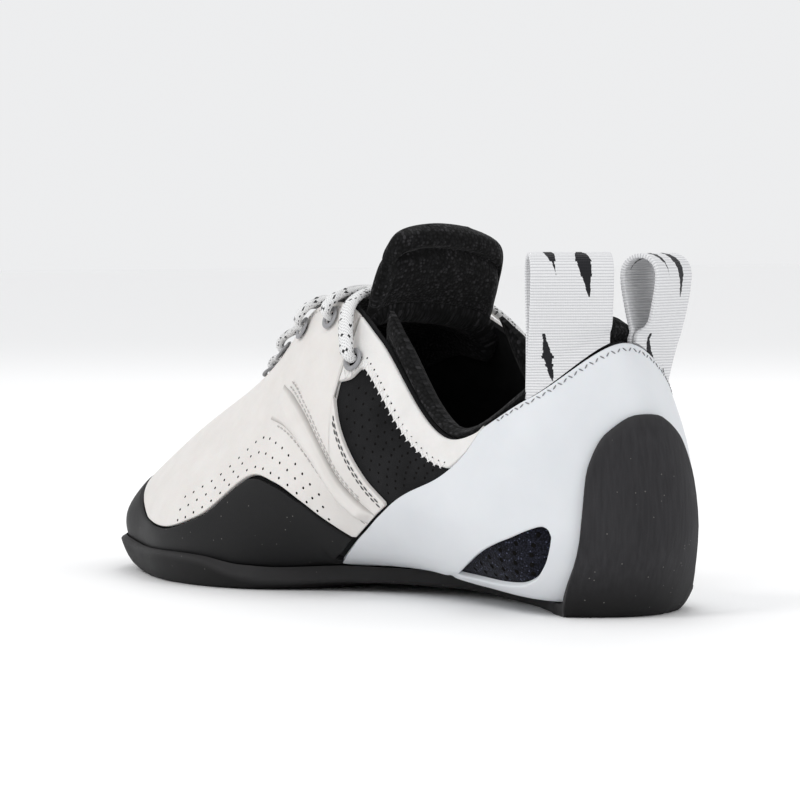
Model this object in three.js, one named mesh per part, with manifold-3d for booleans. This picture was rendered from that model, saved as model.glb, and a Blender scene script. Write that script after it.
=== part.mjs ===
// A climbing shoe for the right foot. Millimetres, +X to the toe, +Y to the medial side, +Z up,
// with the floor at z = 0. Every curved piece is a patch of one surface, the outside of the lasted
// upper: "round" runs round the shoe from the toe tip by the medial side, "rise" from the middle of
// the bottom up to the topline. Each layer lies at its own depth inside or outside that surface.
import * as THREE from "three";
import Module from "manifold-3d";
import { mergeVertices } from "three/addons/utils/BufferGeometryUtils.js";

const wasm = await Module();
wasm.setup();

// Driving sizes of the last
const LENGTH = 240;
const BALL_WIDTH = 96;
const INSTEP_HEIGHT = 80;

// Thickness of each layer, and the clearance between neighbours
const CLEARANCE = 0.3;
const UPPER_WALL = 1.6;
const RAND_RUBBER = 1.5;
const VAMP_SHEET = 1.2;
const RIDGE_HEIGHT = 1.8;
const SOLE_RUBBER = 4.4;
const SOLE_RIM = 1.9;
const HEEL_PATCH = 1.7;
const INSOLE_SHEET = 2.0;
const LINING_PAD = 4.2;
const TONGUE_PAD = 4.6;

// Pull loops of webbing, lace and eyelets
const LOOP_WIDTH = 22;
const LOOP_HEIGHT = 31;
const LOOP_OPENING = 8.5;
const LOOP_SEAM = 5;
const LOOP_TUCK = 5;
const WEBBING = 1.5;
const LACE_WIDTH = 4.6;
const LACE_THICKNESS = 2.6;
const EYELET_BORE = 1.9;
const EYELET_RIM = 1.5;
const EYELET_HEIGHT = 0.8;
const EYELET_SEAT = 0.15;

// Depths outside (+) and inside (-) the surface of the upper
const RAND_BOTTOM = CLEARANCE;
const RAND_TOP = RAND_BOTTOM + RAND_RUBBER;
const VAMP_TOP = CLEARANCE + VAMP_SHEET;
const SOLE_SEAT = 0.2;
const SOLE_TOP = RAND_TOP + CLEARANCE + SOLE_SEAT;
const INSIDE = -UPPER_WALL - CLEARANCE;

// One row for each section round the last: the feather edge, how far the side stands out from it
// and at what height, the shoulder, and the topline or throat edge. x is a share of the length,
// y and "out" of the ball width, z of the instep height.
const SECTION_COLUMNS = [
  "name", "edgeX", "edgeY", "edgeZ", "out", "outZ", "sideX", "sideY", "sideZ", "topX", "topY", "topZ",
];
const SECTIONS = table(SECTION_COLUMNS, [
  ["toe", .980, -.050, .135, .035, .205, .883, .000, .445, .640, .040, .735],
  ["medial toe", .910, .225, .108, .025, .195, .822, .180, .460, .630, .090, .745],
  ["medial small toes", .808, .345, .085, .020, .210, .757, .250, .500, .617, .135, .775],
  ["medial ball", .688, .430, .085, .018, .230, .670, .300, .530, .585, .165, .860],
  ["medial forefoot", .575, .410, .100, .025, .270, .565, .330, .590, .517, .210, .990],
  ["medial instep", .467, .270, .150, .110, .340, .458, .345, .670, .442, .235, 1.02],
  ["medial arch", .350, .190, .145, .130, .350, .350, .340, .610, .362, .262, .900],
  ["medial quarter", .217, .195, .110, .100, .300, .225, .303, .450, .215, .282, .575],
  ["medial heel", .095, .195, .090, .065, .260, .092, .265, .520, .095, .225, .725],
  ["heel", .035, -.020, .085, .065, .275, .021, -.010, .625, .054, .000, .905],
  ["lateral heel", .092, -.270, .085, .035, .250, .083, -.275, .520, .092, -.225, .725],
  ["lateral quarter", .217, -.345, .100, .025, .275, .217, -.335, .450, .212, -.282, .575],
  ["lateral arch", .350, -.405, .122, .025, .275, .342, -.355, .595, .356, -.225, .880],
  ["lateral instep", .467, -.450, .118, .030, .275, .458, -.375, .640, .438, -.155, 1.00],
  ["lateral forefoot", .575, -.495, .090, .025, .225, .567, -.375, .570, .512, -.125, .960],
  ["lateral ball", .688, -.520, .085, .022, .190, .679, -.385, .500, .577, -.085, .840],
  ["lateral small toes", .808, -.505, .085, .020, .175, .770, -.340, .465, .617, -.050, .770],
  ["lateral toe", .930, -.370, .108, .028, .185, .833, -.230, .445, .630, .000, .745],
]);
const ROUND = SECTIONS.length;
const HEEL_ROUND = ROUND / 2;
const TOP_RISE = 4;

// The spine of the bottom lies midway between each medial section and its lateral partner
const SPINE_DROP = 1.0;
const TOE_SPINE_INSET = 20;
const HEEL_SPINE_INSET = 14;

// Edges of the pieces, as rise over round. What is listed for the medial side is mirrored by
// round -> -round where the lateral side has the same edge.
const EDGE_COLUMNS = ["round", "rise"];
const SOLE_EDGE = curve(table(EDGE_COLUMNS, [
  [0, 1.45], [1.2, 1.45], [2.4, 1.36], [3.1, 1.33], [3.6, 1.26], [4.2, 1.0], [4.6, .86], [5, .75],
  [5.5, .57], [6, .44], [6.5, .34], [7, .32], [7.5, .42], [8, .68], [8.22, .9], [8.36, 1.6],
  [8.42, 2.2], [8.5, 2.72], [8.65, 3.0], [8.9, 3.12], [9.1, 3.12], [9.35, 3.0], [9.5, 2.72],
  [9.58, 2.2], [9.64, 1.6], [9.8, 1.25], [10.2, 1.2], [12, 1.2], [14, 1.22], [16, 1.28], [17, 1.4],
  [18, 1.45],
]));
const TOE_RAND_EDGE = curve(table(EDGE_COLUMNS, [
  [0, 2.72], [.3, 2.71], [1, 2.55], [2, 2.1], [2.9, 1.78], [3.56, 1.98], [4.24, 2.34], [4.64, 2.18],
  [4.92, 1.97], [5.2, 1.68], [5.52, 1.36],
]));
const RAND_FRONT = curve(table(EDGE_COLUMNS, [
  [4.96, .76], [5.2, .96], [5.52, 1.32], [5.84, 1.62], [6.24, 1.98], [6.72, 2.52], [7.16, 3.16],
  [7.34, 3.5], [7.5, 3.96], [9, 3.96],
]));
const WINDOW_TOP = curve(table(EDGE_COLUMNS, [
  [6.84, 1.08], [7.2, 1.42], [7.52, 1.76], [7.84, 2.04], [8.08, 2.2], [8.16, 2.2], [8.2, 2.05],
]));
const WINDOW_BOTTOM = curve(table(EDGE_COLUMNS, [
  [6.84, 1.08], [7.2, 1.1], [7.52, 1.12], [7.84, 1.18], [8.04, 1.34], [8.14, 1.62], [8.2, 2.05],
]));
const WINDOW = { from: 6.84, to: 8.2 };
const VAMP_REAR = curve(table(EDGE_COLUMNS, [
  [5.48, 3.12], [5.6, 2.84], [5.92, 2.34], [6.2, 1.99],
]));
const TAB_BOTTOM = curve(table(EDGE_COLUMNS, [
  [5.5, 3.28], [5.66, 3.36], [5.86, 3.56], [6.24, 3.44], [6.56, 3.32], [6.8, 3.28], [7.16, 3.2],
]));
const RIDGE_MIDDLE = curve(table(EDGE_COLUMNS, [
  [4.3, 3.1], [4.7, 2.92], [5.08, 2.66], [5.36, 2.38], [5.6, 2.06],
]));
const TAB_FRONT = 5.5;
const TAB_END = 7.5;
const BUTT = 0.045;
const STEP = 3 / 8;
// Rises where every layer has a row, closest together round the feather edge
const LEVELS = [.35, .65, .85, 1, 1.15, 1.4, 1.8, 2.25, 2.75, 3.25, 3.65];

function table(columns, rows) {
  return rows.map((row) => Object.fromEntries(columns.map((name, i) => [name, row[i]])));
}

// Smooth curve through the rows that never overshoots them
function curve(rows) {
  const x = rows.map((row) => row.round);
  const y = rows.map((row) => row.rise);
  const slope = x.slice(1).map((_, i) => (y[i + 1] - y[i]) / (x[i + 1] - x[i]));
  const tangent = x.map((_, i) => {
    const before = slope[Math.max(i - 1, 0)];
    const after = slope[Math.min(i, slope.length - 1)];
    return before * after <= 0 ? 0 : (2 * before * after) / (before + after);
  });
  return (at) => {
    const place = THREE.MathUtils.clamp(at, x[0], x[x.length - 1]);
    const i = x.findLastIndex((value, k) => k === 0 || (value <= place && k + 1 < x.length));
    const width = x[i + 1] - x[i];
    const u = (place - x[i]) / width;
    const keep = (1 + 2 * u) * (1 - u) ** 2 * y[i] + u * u * (3 - 2 * u) * y[i + 1];
    return keep + width * (u * (1 - u) ** 2 * tangent[i] - u * u * (1 - u) * tangent[i + 1]);
  };
}

// Centripetal Catmull-Rom between the two middle points of four
function spline(points, u) {
  const knots = [0];
  for (let i = 1; i < 4; i += 1) {
    knots.push(knots[i - 1] + Math.max(Math.sqrt(points[i].distanceTo(points[i - 1])), 1e-3));
  }
  const at = knots[1] + u * (knots[2] - knots[1]);
  const blend = (a, b, from, to) => a.clone().lerp(b, (at - from) / (to - from));
  const a = [0, 1, 2].map((i) => blend(points[i], points[i + 1], knots[i], knots[i + 1]));
  const b = [0, 1].map((i) => blend(a[i], a[i + 1], knots[i], knots[i + 2]));
  return blend(b[0], b[1], knots[1], knots[2]);
}

const place = (x, y, z) => new THREE.Vector3(x * LENGTH, y * BALL_WIDTH, z * INSTEP_HEIGHT);
const EDGES = SECTIONS.map((row) => place(row.edgeX, row.edgeY, row.edgeZ));
const RINGS = SECTIONS.map((row, i) => {
  const edge = EDGES[i];
  const along = EDGES[(i + 1) % ROUND].clone().sub(EDGES[(i + ROUND - 1) % ROUND]);
  const away = new THREE.Vector3(along.y, -along.x, 0).normalize();
  const wide = edge.clone().addScaledVector(away, row.out * BALL_WIDTH);
  wide.z = row.outZ * INSTEP_HEIGHT;
  const side = place(row.sideX, row.sideY, row.sideZ);
  return [spinePoint(i), edge, wide, side, place(row.topX, row.topY, row.topZ)];
});

function partner(i) {
  return (ROUND - i) % ROUND;
}

function spinePoint(i) {
  const edge = EDGES[i];
  if (i === 0) return edge.clone().add(new THREE.Vector3(-TOE_SPINE_INSET, 0, -SPINE_DROP));
  if (i === HEEL_ROUND) return edge.clone().add(new THREE.Vector3(HEEL_SPINE_INSET, 0, -SPINE_DROP));
  const other = EDGES[partner(i)];
  const middle = edge.clone().add(other).multiplyScalar(0.5);
  middle.z = Math.min(edge.z, other.z) - SPINE_DROP;
  return middle;
}

// A point of section i at a rise
function onSection(i, rise) {
  const ring = RINGS[i];
  const ends = i === 0 || i === HEEL_ROUND;
  const below = ends ? ring[0].clone().multiplyScalar(2).sub(ring[1]) : RINGS[partner(i)][1];
  const above = ring[4].clone().multiplyScalar(2).sub(ring[3]);
  const points = [below, ...ring, above];
  const k = THREE.MathUtils.clamp(Math.floor(rise), 0, TOP_RISE - 1);
  return spline(points.slice(k, k + 4), rise - k);
}

// A point of the upper's outside
function onLast(round, rise) {
  const k = Math.floor(round);
  const near = [-1, 0, 1, 2].map((step) => onSection((((k + step) % ROUND) + ROUND) % ROUND, rise));
  return spline(near, round - k);
}

function outward(round, rise) {
  if (rise < 1e-6) return new THREE.Vector3(0, 0, -1);
  const e = 0.02;
  const around = onLast(round + e, rise).sub(onLast(round - e, rise));
  const up = onLast(round, rise + e).sub(onLast(round, rise - e));
  return around.cross(up).normalize();
}

function offLast(round, rise, depth) {
  return onLast(round, rise).addScaledVector(outward(round, rise), depth);
}

// Points from, to, and every whole step between them
function steps(from, to, step = STEP) {
  const list = [from];
  for (let i = Math.floor(from / step) + 1; i * step < to - 0.3 * step; i += 1) {
    if (i * step - from > 0.3 * step) list.push(i * step);
  }
  list.push(to);
  return list;
}

// Closed body between two skins over a grid of cells. pointAt(row, column, skin) gives a point.
function slab(rows, columns, pointAt, { skip = () => false } = {}) {
  const points = [];
  const index = new Map();
  const id = (point) => {
    const key = point.toArray().map((value) => Math.round(value * 1e4)).join();
    if (!index.has(key)) {
      index.set(key, points.length);
      points.push(point);
    }
    return index.get(key);
  };
  const grid = [0, 1].map((skin) => rows.map((_, i) => columns.map((__, j) => id(pointAt(i, j, skin)))));
  const faces = [];
  const edges = new Map();
  const face = (a, b, c, outer) => {
    const ids = [a, b, c].map(([i, j]) => grid[1][i][j]);
    if (new Set(ids).size < 3) return;
    if (outer) {
      ids.forEach((from, k) => {
        const to = ids[(k + 1) % 3];
        const back = `${to},${from}`;
        if (edges.has(back)) edges.delete(back);
        else edges.set(`${from},${to}`, [[a, b, c][k], [a, b, c][(k + 1) % 3]]);
      });
    }
    faces.push(ids);
    faces.push([a, c, b].map(([i, j]) => grid[0][i][j]));
  };
  for (let i = 0; i + 1 < rows.length; i += 1) {
    for (let j = 0; j + 1 < columns.length; j += 1) {
      if (skip(i, j)) continue;
      face([i, j], [i + 1, j], [i + 1, j + 1], true);
      face([i, j], [i + 1, j + 1], [i, j + 1], true);
    }
  }
  for (const [from, to] of edges.values()) {
    const [a, b] = [grid[1][from[0]][from[1]], grid[1][to[0]][to[1]]];
    const [c, d] = [grid[0][from[0]][from[1]], grid[0][to[0]][to[1]]];
    faces.push([b, a, c]);
    faces.push([b, c, d]);
  }
  const geometry = new THREE.BufferGeometry();
  const flat = points.flatMap((point) => point.toArray());
  geometry.setAttribute("position", new THREE.Float32BufferAttribute(flat, 3));
  geometry.setIndex(faces.filter((ids) => new Set(ids).size === 3).flat());
  return geometry;
}

// A layer of the shoe: rounds are its columns, low and high its edges over round, levels the rises
// where it has rows, inner and outer its depths
function layer({ rounds, low, high, inner, outer, hole, levels = LEVELS, shape = (point) => point }) {
  const rises = rounds.map((round) => {
    const bottom = low(round);
    const top = Math.max(high(round), bottom);
    const rows = [bottom, ...levels.map((level) => THREE.MathUtils.clamp(level, bottom, top)), top];
    if (!hole) return rows;
    const [a, b] = hole(round).map((rise) => THREE.MathUtils.clamp(rise, bottom, top));
    const below = rows.map((rise) => Math.min(rise, a));
    const above = rows.map((rise) => Math.max(rise, b));
    return [...below, ...above];
  });
  const seam = levels.length + 1;
  const pointAt = (i, j, skin) => {
    const [round, rise] = [rounds[i], rises[i][j]];
    const depth = skin ? outer : inner;
    const point = offLast(round, rise, typeof depth === "function" ? depth(round, rise) : depth);
    return shape(point, skin, round, rise);
  };
  return slab(rounds, rises[0], pointAt, { skip: (i, j) => Boolean(hole) && j === seam });
}

function solid(geometry) {
  const bare = new THREE.BufferGeometry();
  bare.setAttribute("position", geometry.getAttribute("position").clone());
  if (geometry.index) bare.setIndex(geometry.index.clone());
  const merged = mergeVertices(bare, 1e-4);
  return new wasm.Manifold(new wasm.Mesh({
    numProp: 3,
    vertProperties: new Float32Array(merged.getAttribute("position").array),
    triVerts: new Uint32Array(merged.index.array),
  }));
}

function shell(manifold) {
  const mesh = manifold.getMesh();
  const geometry = new THREE.BufferGeometry();
  geometry.setAttribute("position", new THREE.BufferAttribute(new Float32Array(mesh.vertProperties), 3));
  geometry.setIndex(new THREE.BufferAttribute(new Uint32Array(mesh.triVerts), 1));
  return geometry;
}

const shoe = new THREE.Group();
const BLACK_RUBBER = { color: 0x1b1b1c, roughness: 0.75 };
const RAND_BLACK = { color: 0x202022, roughness: 0.6 };
const WHITE_RUBBER = { color: 0xe2e7ec, roughness: 0.45 };
const WHITE_SYNTHETIC = { color: 0xefece8, roughness: 0.6 };
const BLACK_KNIT = { color: 0x141417, roughness: 0.95 };
const WHITE_WEBBING = { color: 0xe8e8ea, roughness: 0.8 };

function add(name, piece, finish) {
  const geometry = piece.isBufferGeometry ? piece : shell(piece);
  const mesh = new THREE.Mesh(geometry, new THREE.MeshStandardMaterial({ metalness: 0, ...finish }));
  mesh.name = name;
  shoe.add(mesh);
}

// The largest body that is left after the cuts
function clear(piece, ...cutters) {
  let body = piece;
  for (const cutter of cutters) body = body.subtract(solid(layer(cutter)));
  return body.decompose().sort((a, b) => b.volume() - a.volume())[0];
}
const cut = (spec, ...cutters) => clear(solid(layer(spec)), ...cutters);

// A layer with its clearance on every side, and one that reaches up through what butts on its edge
const SKIN_EDGE = 0.02;
const skin = (spec) => ({
  ...spec,
  low: (round) => spec.low(round) - SKIN_EDGE,
  high: (round) => spec.high(round) + SKIN_EDGE,
  inner: spec.inner - CLEARANCE,
  outer: spec.outer + CLEARANCE,
});
const CUT_DEPTH = 6;
const CUT_START = CLEARANCE - 1;
function butt(spec, gap = BUTT) {
  const { rounds, high } = spec;
  return {
    rounds: [rounds[0] - gap / 2, ...rounds.slice(1, -1), rounds[rounds.length - 1] + gap / 2],
    low: () => 0,
    high: (round) => high(round) + gap,
    inner: CUT_START,
    outer: CUT_DEPTH,
  };
}

const mirrored = (edge) => (round) => edge(Math.abs(round));
const mirrorAtHeel = (edge) => (round) => edge(round > HEEL_ROUND ? ROUND - round : round);

// The hollow upper, from the lasting margin under the foot to the topline
const MARGIN_RISE = 0.6;
const upper = {
  rounds: steps(0, ROUND),
  low: () => MARGIN_RISE,
  high: () => TOP_RISE,
  inner: -UPPER_WALL,
  outer: 0,
};
add("upper", layer(upper), { color: 0x1c1c20, roughness: 0.9 });

// The insole lies inside, on the lasting margin
const INSOLE_EDGE = 0.84;
const INSOLE_SEAT = 0.6;
add("insole", layer({
  rounds: steps(0, ROUND, 2 * STEP),
  low: () => 0,
  high: () => INSOLE_EDGE,
  inner: INSIDE - INSOLE_SEAT - INSOLE_SHEET,
  outer: INSIDE - INSOLE_SEAT,
}), { color: 0x8d8f94, roughness: 0.95 });

// Rands lap under the outsole. The heel rand slings from the arch over the heel, with a
// leaf-shaped window on the medial side.
const LAP = 0.3;
const RIM_TO = 1.15;
const LEAST_RISE = 0.03;
const lapUnder = (round) => {
  const edge = SOLE_EDGE(((round % ROUND) + ROUND) % ROUND);
  return Math.max(LEAST_RISE, Math.min(edge, RIM_TO) - LAP);
};
const RAND_START = 4.98;
const heelRand = {
  rounds: [
    ...steps(RAND_START, 6.67), WINDOW.from, ...steps(7, 7.67), 7.92, 8.04, 8.14, WINDOW.to,
    ...steps(8.4, ROUND - RAND_START),
  ],
  low: lapUnder,
  high: mirrorAtHeel(RAND_FRONT),
  inner: RAND_BOTTOM,
  outer: RAND_TOP,
  hole: (round) => {
    const inside = round > WINDOW.from && round < WINDOW.to;
    return [WINDOW_BOTTOM(round), inside ? WINDOW_TOP(round) : WINDOW_BOTTOM(round)];
  },
};
add("heel_rand", cut(heelRand, skin(upper)), WHITE_RUBBER);

// The outsole covers the bottom, wraps the edge and runs up the back of the heel. Its underside
// is flat on the floor under the forefoot and the heel.
const PATCH_HALF = 0.9;
const PATCH_BLEND = 0.2;
const PATCH_RISE = 1.6;
function soleDepth(round, rise) {
  const side = THREE.MathUtils.smoothstep(rise, RIM_TO, PATCH_RISE);
  const inside = PATCH_HALF - Math.abs(round - HEEL_ROUND);
  const patch = THREE.MathUtils.smoothstep(inside, 0, PATCH_BLEND);
  return SOLE_TOP + THREE.MathUtils.lerp(SOLE_RIM, HEEL_PATCH, side * patch);
}
// The rubber is thicker where it faces the floor, and flat on it
const FACING = { none: 0.25, full: 0.95 };
function treadDown(point, outer, round, rise) {
  if (!outer) return point;
  const facing = THREE.MathUtils.smoothstep(-outward(round, rise).z, FACING.none, FACING.full);
  return point.setZ(Math.max(point.z - facing * (SOLE_RUBBER - SOLE_RIM), 0));
}
const PATCH_COLUMNS = [
  8.12, 8.22, 8.255, 8.29, 8.36, 8.42, 8.5, 8.65, 8.82, 9, 9.18, 9.35, 9.5, 9.58, 9.64, 9.72, 9.8,
];
add("outsole", layer({
  rounds: [...steps(0, 8), ...PATCH_COLUMNS, ...steps(10, ROUND)],
  low: () => 0,
  high: SOLE_EDGE,
  inner: SOLE_TOP,
  outer: soleDepth,
  shape: treadDown,
}), BLACK_RUBBER);

const TOE_RAND_END = 5.5;
const toeRand = {
  rounds: steps(-TOE_RAND_END, TOE_RAND_END),
  low: lapUnder,
  high: mirrored(TOE_RAND_EDGE),
  inner: RAND_BOTTOM,
  outer: RAND_TOP,
};
add("toe_rand", cut(toeRand, skin(upper), butt(heelRand, 2 * BUTT)), RAND_BLACK);

// The vamp covers the toes and carries the eyestays
const VAMP_END = 6.18;
const EYESTAY_END = 5.46;
const VAMP_BACK = 5.48;
const EDGE_INSET = 0.03;
const vampLow = (round) => {
  const at = Math.abs(round);
  return at < TOE_RAND_END ? TOE_RAND_EDGE(at) + BUTT : RAND_FRONT(at) - BUTT;
};
const vampHigh = (round) => {
  const at = Math.abs(round);
  return at < VAMP_BACK ? TOP_RISE - EDGE_INSET : VAMP_REAR(at);
};
const vamp = {
  rounds: [
    -VAMP_END, ...steps(-6, -VAMP_BACK), ...steps(-EYESTAY_END, EYESTAY_END),
    ...steps(VAMP_BACK, 6), VAMP_END,
  ],
  low: vampLow,
  high: vampHigh,
  inner: CLEARANCE,
  outer: VAMP_TOP,
};
add("vamp", cut(vamp, skin(upper), butt(heelRand)), WHITE_SYNTHETIC);

// Both sides share the pieces behind the vamp: the padded ridge, the topline binding with its
// top eyelet tab, and the eyelets
const SIDES = [["medial", 1], ["lateral", -1]];
const onSide = (side, rounds) => (side > 0 ? rounds : rounds.map((round) => -round).reverse());
const RIDGE_FRONT = 4.36;
const RIDGE_REAR = 5.58;
const RIDGE_HALF = 0.1;
const RIDGE_BASE = VAMP_TOP + CLEARANCE;
const EYELETS = [2.2, 3.2, 4.0, 4.85, 5.68];
const EYELET_RISE = 3.8;
const TAB_EYELET_RISE = 3.56;
for (const [name, side] of SIDES) {
  add(`vamp_ridge_${name}`, cut({
    rounds: onSide(side, steps(RIDGE_FRONT, RIDGE_REAR, STEP / 2)),
    low: (round) => RIDGE_MIDDLE(Math.abs(round)) - RIDGE_HALF,
    high: (round) => RIDGE_MIDDLE(Math.abs(round)) + RIDGE_HALF,
    inner: RIDGE_BASE,
    outer: RIDGE_BASE + RIDGE_HEIGHT,
  }, skin(vamp), butt(toeRand), butt(heelRand)), WHITE_SYNTHETIC);

  const binding = {
    rounds: onSide(side, steps(TAB_FRONT, TAB_END)),
    low: (round) => TAB_BOTTOM(Math.abs(round)),
    high: () => TOP_RISE - EDGE_INSET,
    inner: CLEARANCE,
    outer: VAMP_TOP,
  };
  add(`topline_binding_${name}`, cut(binding, skin(upper), butt(heelRand, 1.5 * BUTT)), WHITE_SYNTHETIC);
}

function eyeletFrame(round) {
  const inTab = Math.abs(round) > TAB_FRONT;
  const rise = inTab ? TAB_EYELET_RISE : EYELET_RISE;
  const seat = offLast(round, rise, VAMP_TOP + CLEARANCE + EYELET_SEAT);
  return { normal: outward(round, rise), seat };
}
const EYELET_SIDES = 8;
const EYELET_BEVEL = 0.3;
for (const [name, side] of SIDES) {
  EYELETS.forEach((round, i) => {
    const { normal, seat } = eyeletFrame(side * round);
    const outer = EYELET_BORE + EYELET_RIM;
    const ring = new THREE.LatheGeometry([
      [EYELET_BORE, 0], [outer, 0], [outer - EYELET_BEVEL, EYELET_HEIGHT],
      [EYELET_BORE, EYELET_HEIGHT], [EYELET_BORE, 0],
    ].map(([r, z]) => new THREE.Vector2(r, z)), EYELET_SIDES);
    ring.applyQuaternion(new THREE.Quaternion().setFromUnitVectors(new THREE.Vector3(0, 1, 0), normal));
    ring.translate(...seat.toArray());
    add(`eyelet_${name}_${i + 1}`, ring, { color: 0x8f9194, roughness: 0.5 });
  });
}

// A padded roll inside the collar, thickest at the topline
const LINING_FRONT = 5.95;
const LINING_LEVELS = [3.65, 4, 4.12];
const LINING_TOP = 4.22;
const LINING_BOTTOM = 3.25;
const LINING_EDGE = 0.12;
const LINING_SPAN = LINING_TOP - LINING_BOTTOM + 2.5 * LINING_EDGE;
function liningDepth(round, rise) {
  const swell = Math.sin((Math.PI * (rise - LINING_BOTTOM + LINING_EDGE)) / LINING_SPAN);
  return INSIDE - LINING_PAD * swell;
}
const lining = {
  rounds: steps(LINING_FRONT, ROUND - LINING_FRONT),
  low: () => LINING_BOTTOM,
  high: () => LINING_TOP,
  levels: LINING_LEVELS,
  inner: liningDepth,
  outer: INSIDE,
};
add("collar_lining", layer(lining), BLACK_KNIT);
const liningSkin = skin({ ...lining, inner: INSIDE - LINING_PAD });

// The tongue fills the throat under both eyestays and ends in a padded lobe above the instep
const TONGUE_ROUNDS = [0.8, 1.4, 2, 2.7, 3.4, 4.1, 4.75, 5.35];
const TONGUE_LAP = 3.62;
const TONGUE_SEAT = 0.9;
const TONGUE_DEPTH = INSIDE - TONGUE_SEAT;
const TONGUE_COLUMNS = [-1, -.84, -.62, -.38, -.13, .13, .38, .62, .84, 1];
const TONGUE_TOE = new THREE.Vector3(10, 0, -5.5);
const TONGUE_TOE_WIDTH = 0.8;
const PAD_EDGE = 0.35;
const PAD_END = 0.45;
// The lobe's rows, as shares of how far it leans back, of its height and of the tongue's width
const LOBE_LEAN = 11.2;
const LOBE_HEIGHT = 24;
const LOBE_COLUMNS = ["back", "height", "width"];
const LOBE = table(LOBE_COLUMNS, [
  [.11, .125, .60], [.30, .333, .60], [.54, .55, .60], [.77, .76, .53], [.93, .91, .38], [1, 1, .16],
]);
const tongueRows = [
  { round: TONGUE_ROUNDS[0], shift: TONGUE_TOE, width: TONGUE_TOE_WIDTH },
  ...TONGUE_ROUNDS.map((round) => ({ round, shift: new THREE.Vector3(), width: 1 })),
  ...LOBE.map(({ back, height, width }) => ({
    round: TONGUE_ROUNDS[TONGUE_ROUNDS.length - 1],
    shift: new THREE.Vector3(-back * LOBE_LEAN, 0, height * LOBE_HEIGHT),
    width,
  })),
];
const tongueGrid = tongueRows.map(({ round, shift, width }) => {
  const across = new THREE.CatmullRomCurve3([
    offLast(round, TONGUE_LAP, TONGUE_DEPTH), offLast(round, TOP_RISE, TONGUE_DEPTH),
    offLast(-round, TOP_RISE, TONGUE_DEPTH), offLast(-round, TONGUE_LAP, TONGUE_DEPTH),
  ], false, "centripetal");
  return TONGUE_COLUMNS.map((v) => across.getPoint((1 + v * width) / 2).add(shift));
});
function tonguePoint(i, j, outer) {
  const point = tongueGrid[i][j].clone();
  if (outer) return point;
  const last = tongueGrid.length - 1;
  const ends = TONGUE_COLUMNS.length - 1;
  const along = tongueGrid[Math.min(i + 1, last)][j].clone().sub(tongueGrid[Math.max(i - 1, 0)][j]);
  const across = tongueGrid[i][Math.min(j + 1, ends)].clone().sub(tongueGrid[i][Math.max(j - 1, 0)]);
  const side = THREE.MathUtils.lerp(1, PAD_EDGE, TONGUE_COLUMNS[j] ** 4);
  const end = i === last || i === 0 ? PAD_END : 1;
  return point.addScaledVector(along.cross(across).normalize(), -TONGUE_PAD * side * end);
}
const tongue = slab(tongueGrid, TONGUE_COLUMNS, tonguePoint);
add("tongue", clear(solid(tongue), skin(upper), skin(vamp)), BLACK_KNIT);

// A closed flat bar swept along points, with its broad faces square to the ups
function sweep(points, ups, width, thickness) {
  const sides = 4;
  const rows = points.map((point, i) => {
    const [before, after] = [points[Math.max(i - 1, 0)], points[Math.min(i + 1, points.length - 1)]];
    const along = after.clone().sub(before).normalize();
    const across = along.clone().cross(ups[i]).normalize();
    const up = across.clone().cross(along);
    return Array.from({ length: sides }, (_, k) => {
      const angle = ((k + 0.5) / sides) * 2 * Math.PI;
      return point.clone().addScaledVector(across, Math.sign(Math.cos(angle)) * (width / 2))
        .addScaledVector(up, Math.sign(Math.sin(angle)) * (thickness / 2));
    });
  });
  const last = rows.length - 1;
  const index = [];
  for (let i = 0; i < last; i += 1) {
    for (let k = 0; k < sides; k += 1) {
      const [a, b] = [i * sides + k, i * sides + ((k + 1) % sides)];
      index.push(a, b + sides, b, a, a + sides, b + sides);
    }
  }
  for (let k = 1; k + 1 < sides; k += 1) {
    index.push(0, k, k + 1, last * sides, last * sides + k + 1, last * sides + k);
  }
  const geometry = new THREE.BufferGeometry();
  const flat = rows.flat().flatMap((point) => point.toArray());
  geometry.setAttribute("position", new THREE.Float32BufferAttribute(flat, 3));
  geometry.setIndex(index);
  return geometry;
}

// The lace crosses the throat between the eyelets, over the tongue, and ends at the top pair
const LACE_LIFT = EYELET_HEIGHT + 2.5 * CLEARANCE + LACE_THICKNESS / 2;
const LACE_CROWN = 2.2;
const TOP_CROWN = 3.6;
const TOP_FORWARD = 3;
const TOP_EDGE = 5.3;
const BAR_STEPS = 5;
const OVER_LIFT = 0.9;
function bar(from, to, over = 0) {
  const start = eyeletFrame(from);
  const end = eyeletFrame(to);
  const top = Math.max(Math.abs(from), Math.abs(to)) > TOP_EDGE;
  const edge = (round) => {
    const at = Math.sign(round) * Math.min(Math.abs(round), TOP_EDGE);
    return offLast(at, TOP_RISE, VAMP_TOP + CLEARANCE + LACE_THICKNESS / 2);
  };
  const middle = edge(from).add(edge(to)).multiplyScalar(0.5);
  middle.z += over + (top ? TOP_CROWN : LACE_CROWN);
  middle.x += top ? TOP_FORWARD : 0;
  const path = new THREE.CatmullRomCurve3([
    start.seat.clone().addScaledVector(start.normal, LACE_LIFT), edge(from), middle,
    edge(to), end.seat.clone().addScaledVector(end.normal, LACE_LIFT),
  ], false, "centripetal");
  const at = Array.from({ length: BAR_STEPS + 1 }, (_, i) => i / BAR_STEPS);
  const points = at.map((u) => path.getPoint(u));
  const ups = at.map((u) => start.normal.clone().lerp(end.normal, u).normalize());
  return solid(sweep(points, ups, LACE_WIDTH, LACE_THICKNESS));
}
let lace = bar(EYELETS[0], -EYELETS[0]);
for (let i = 0; i + 1 < EYELETS.length; i += 1) {
  lace = lace.add(bar(EYELETS[i], -EYELETS[i + 1])).add(bar(EYELETS[i + 1], -EYELETS[i], OVER_LIFT));
}
add("lace", clear(lace, skin(vamp), skin(upper)), { color: 0xe6e6e4, roughness: 0.85 });

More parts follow.
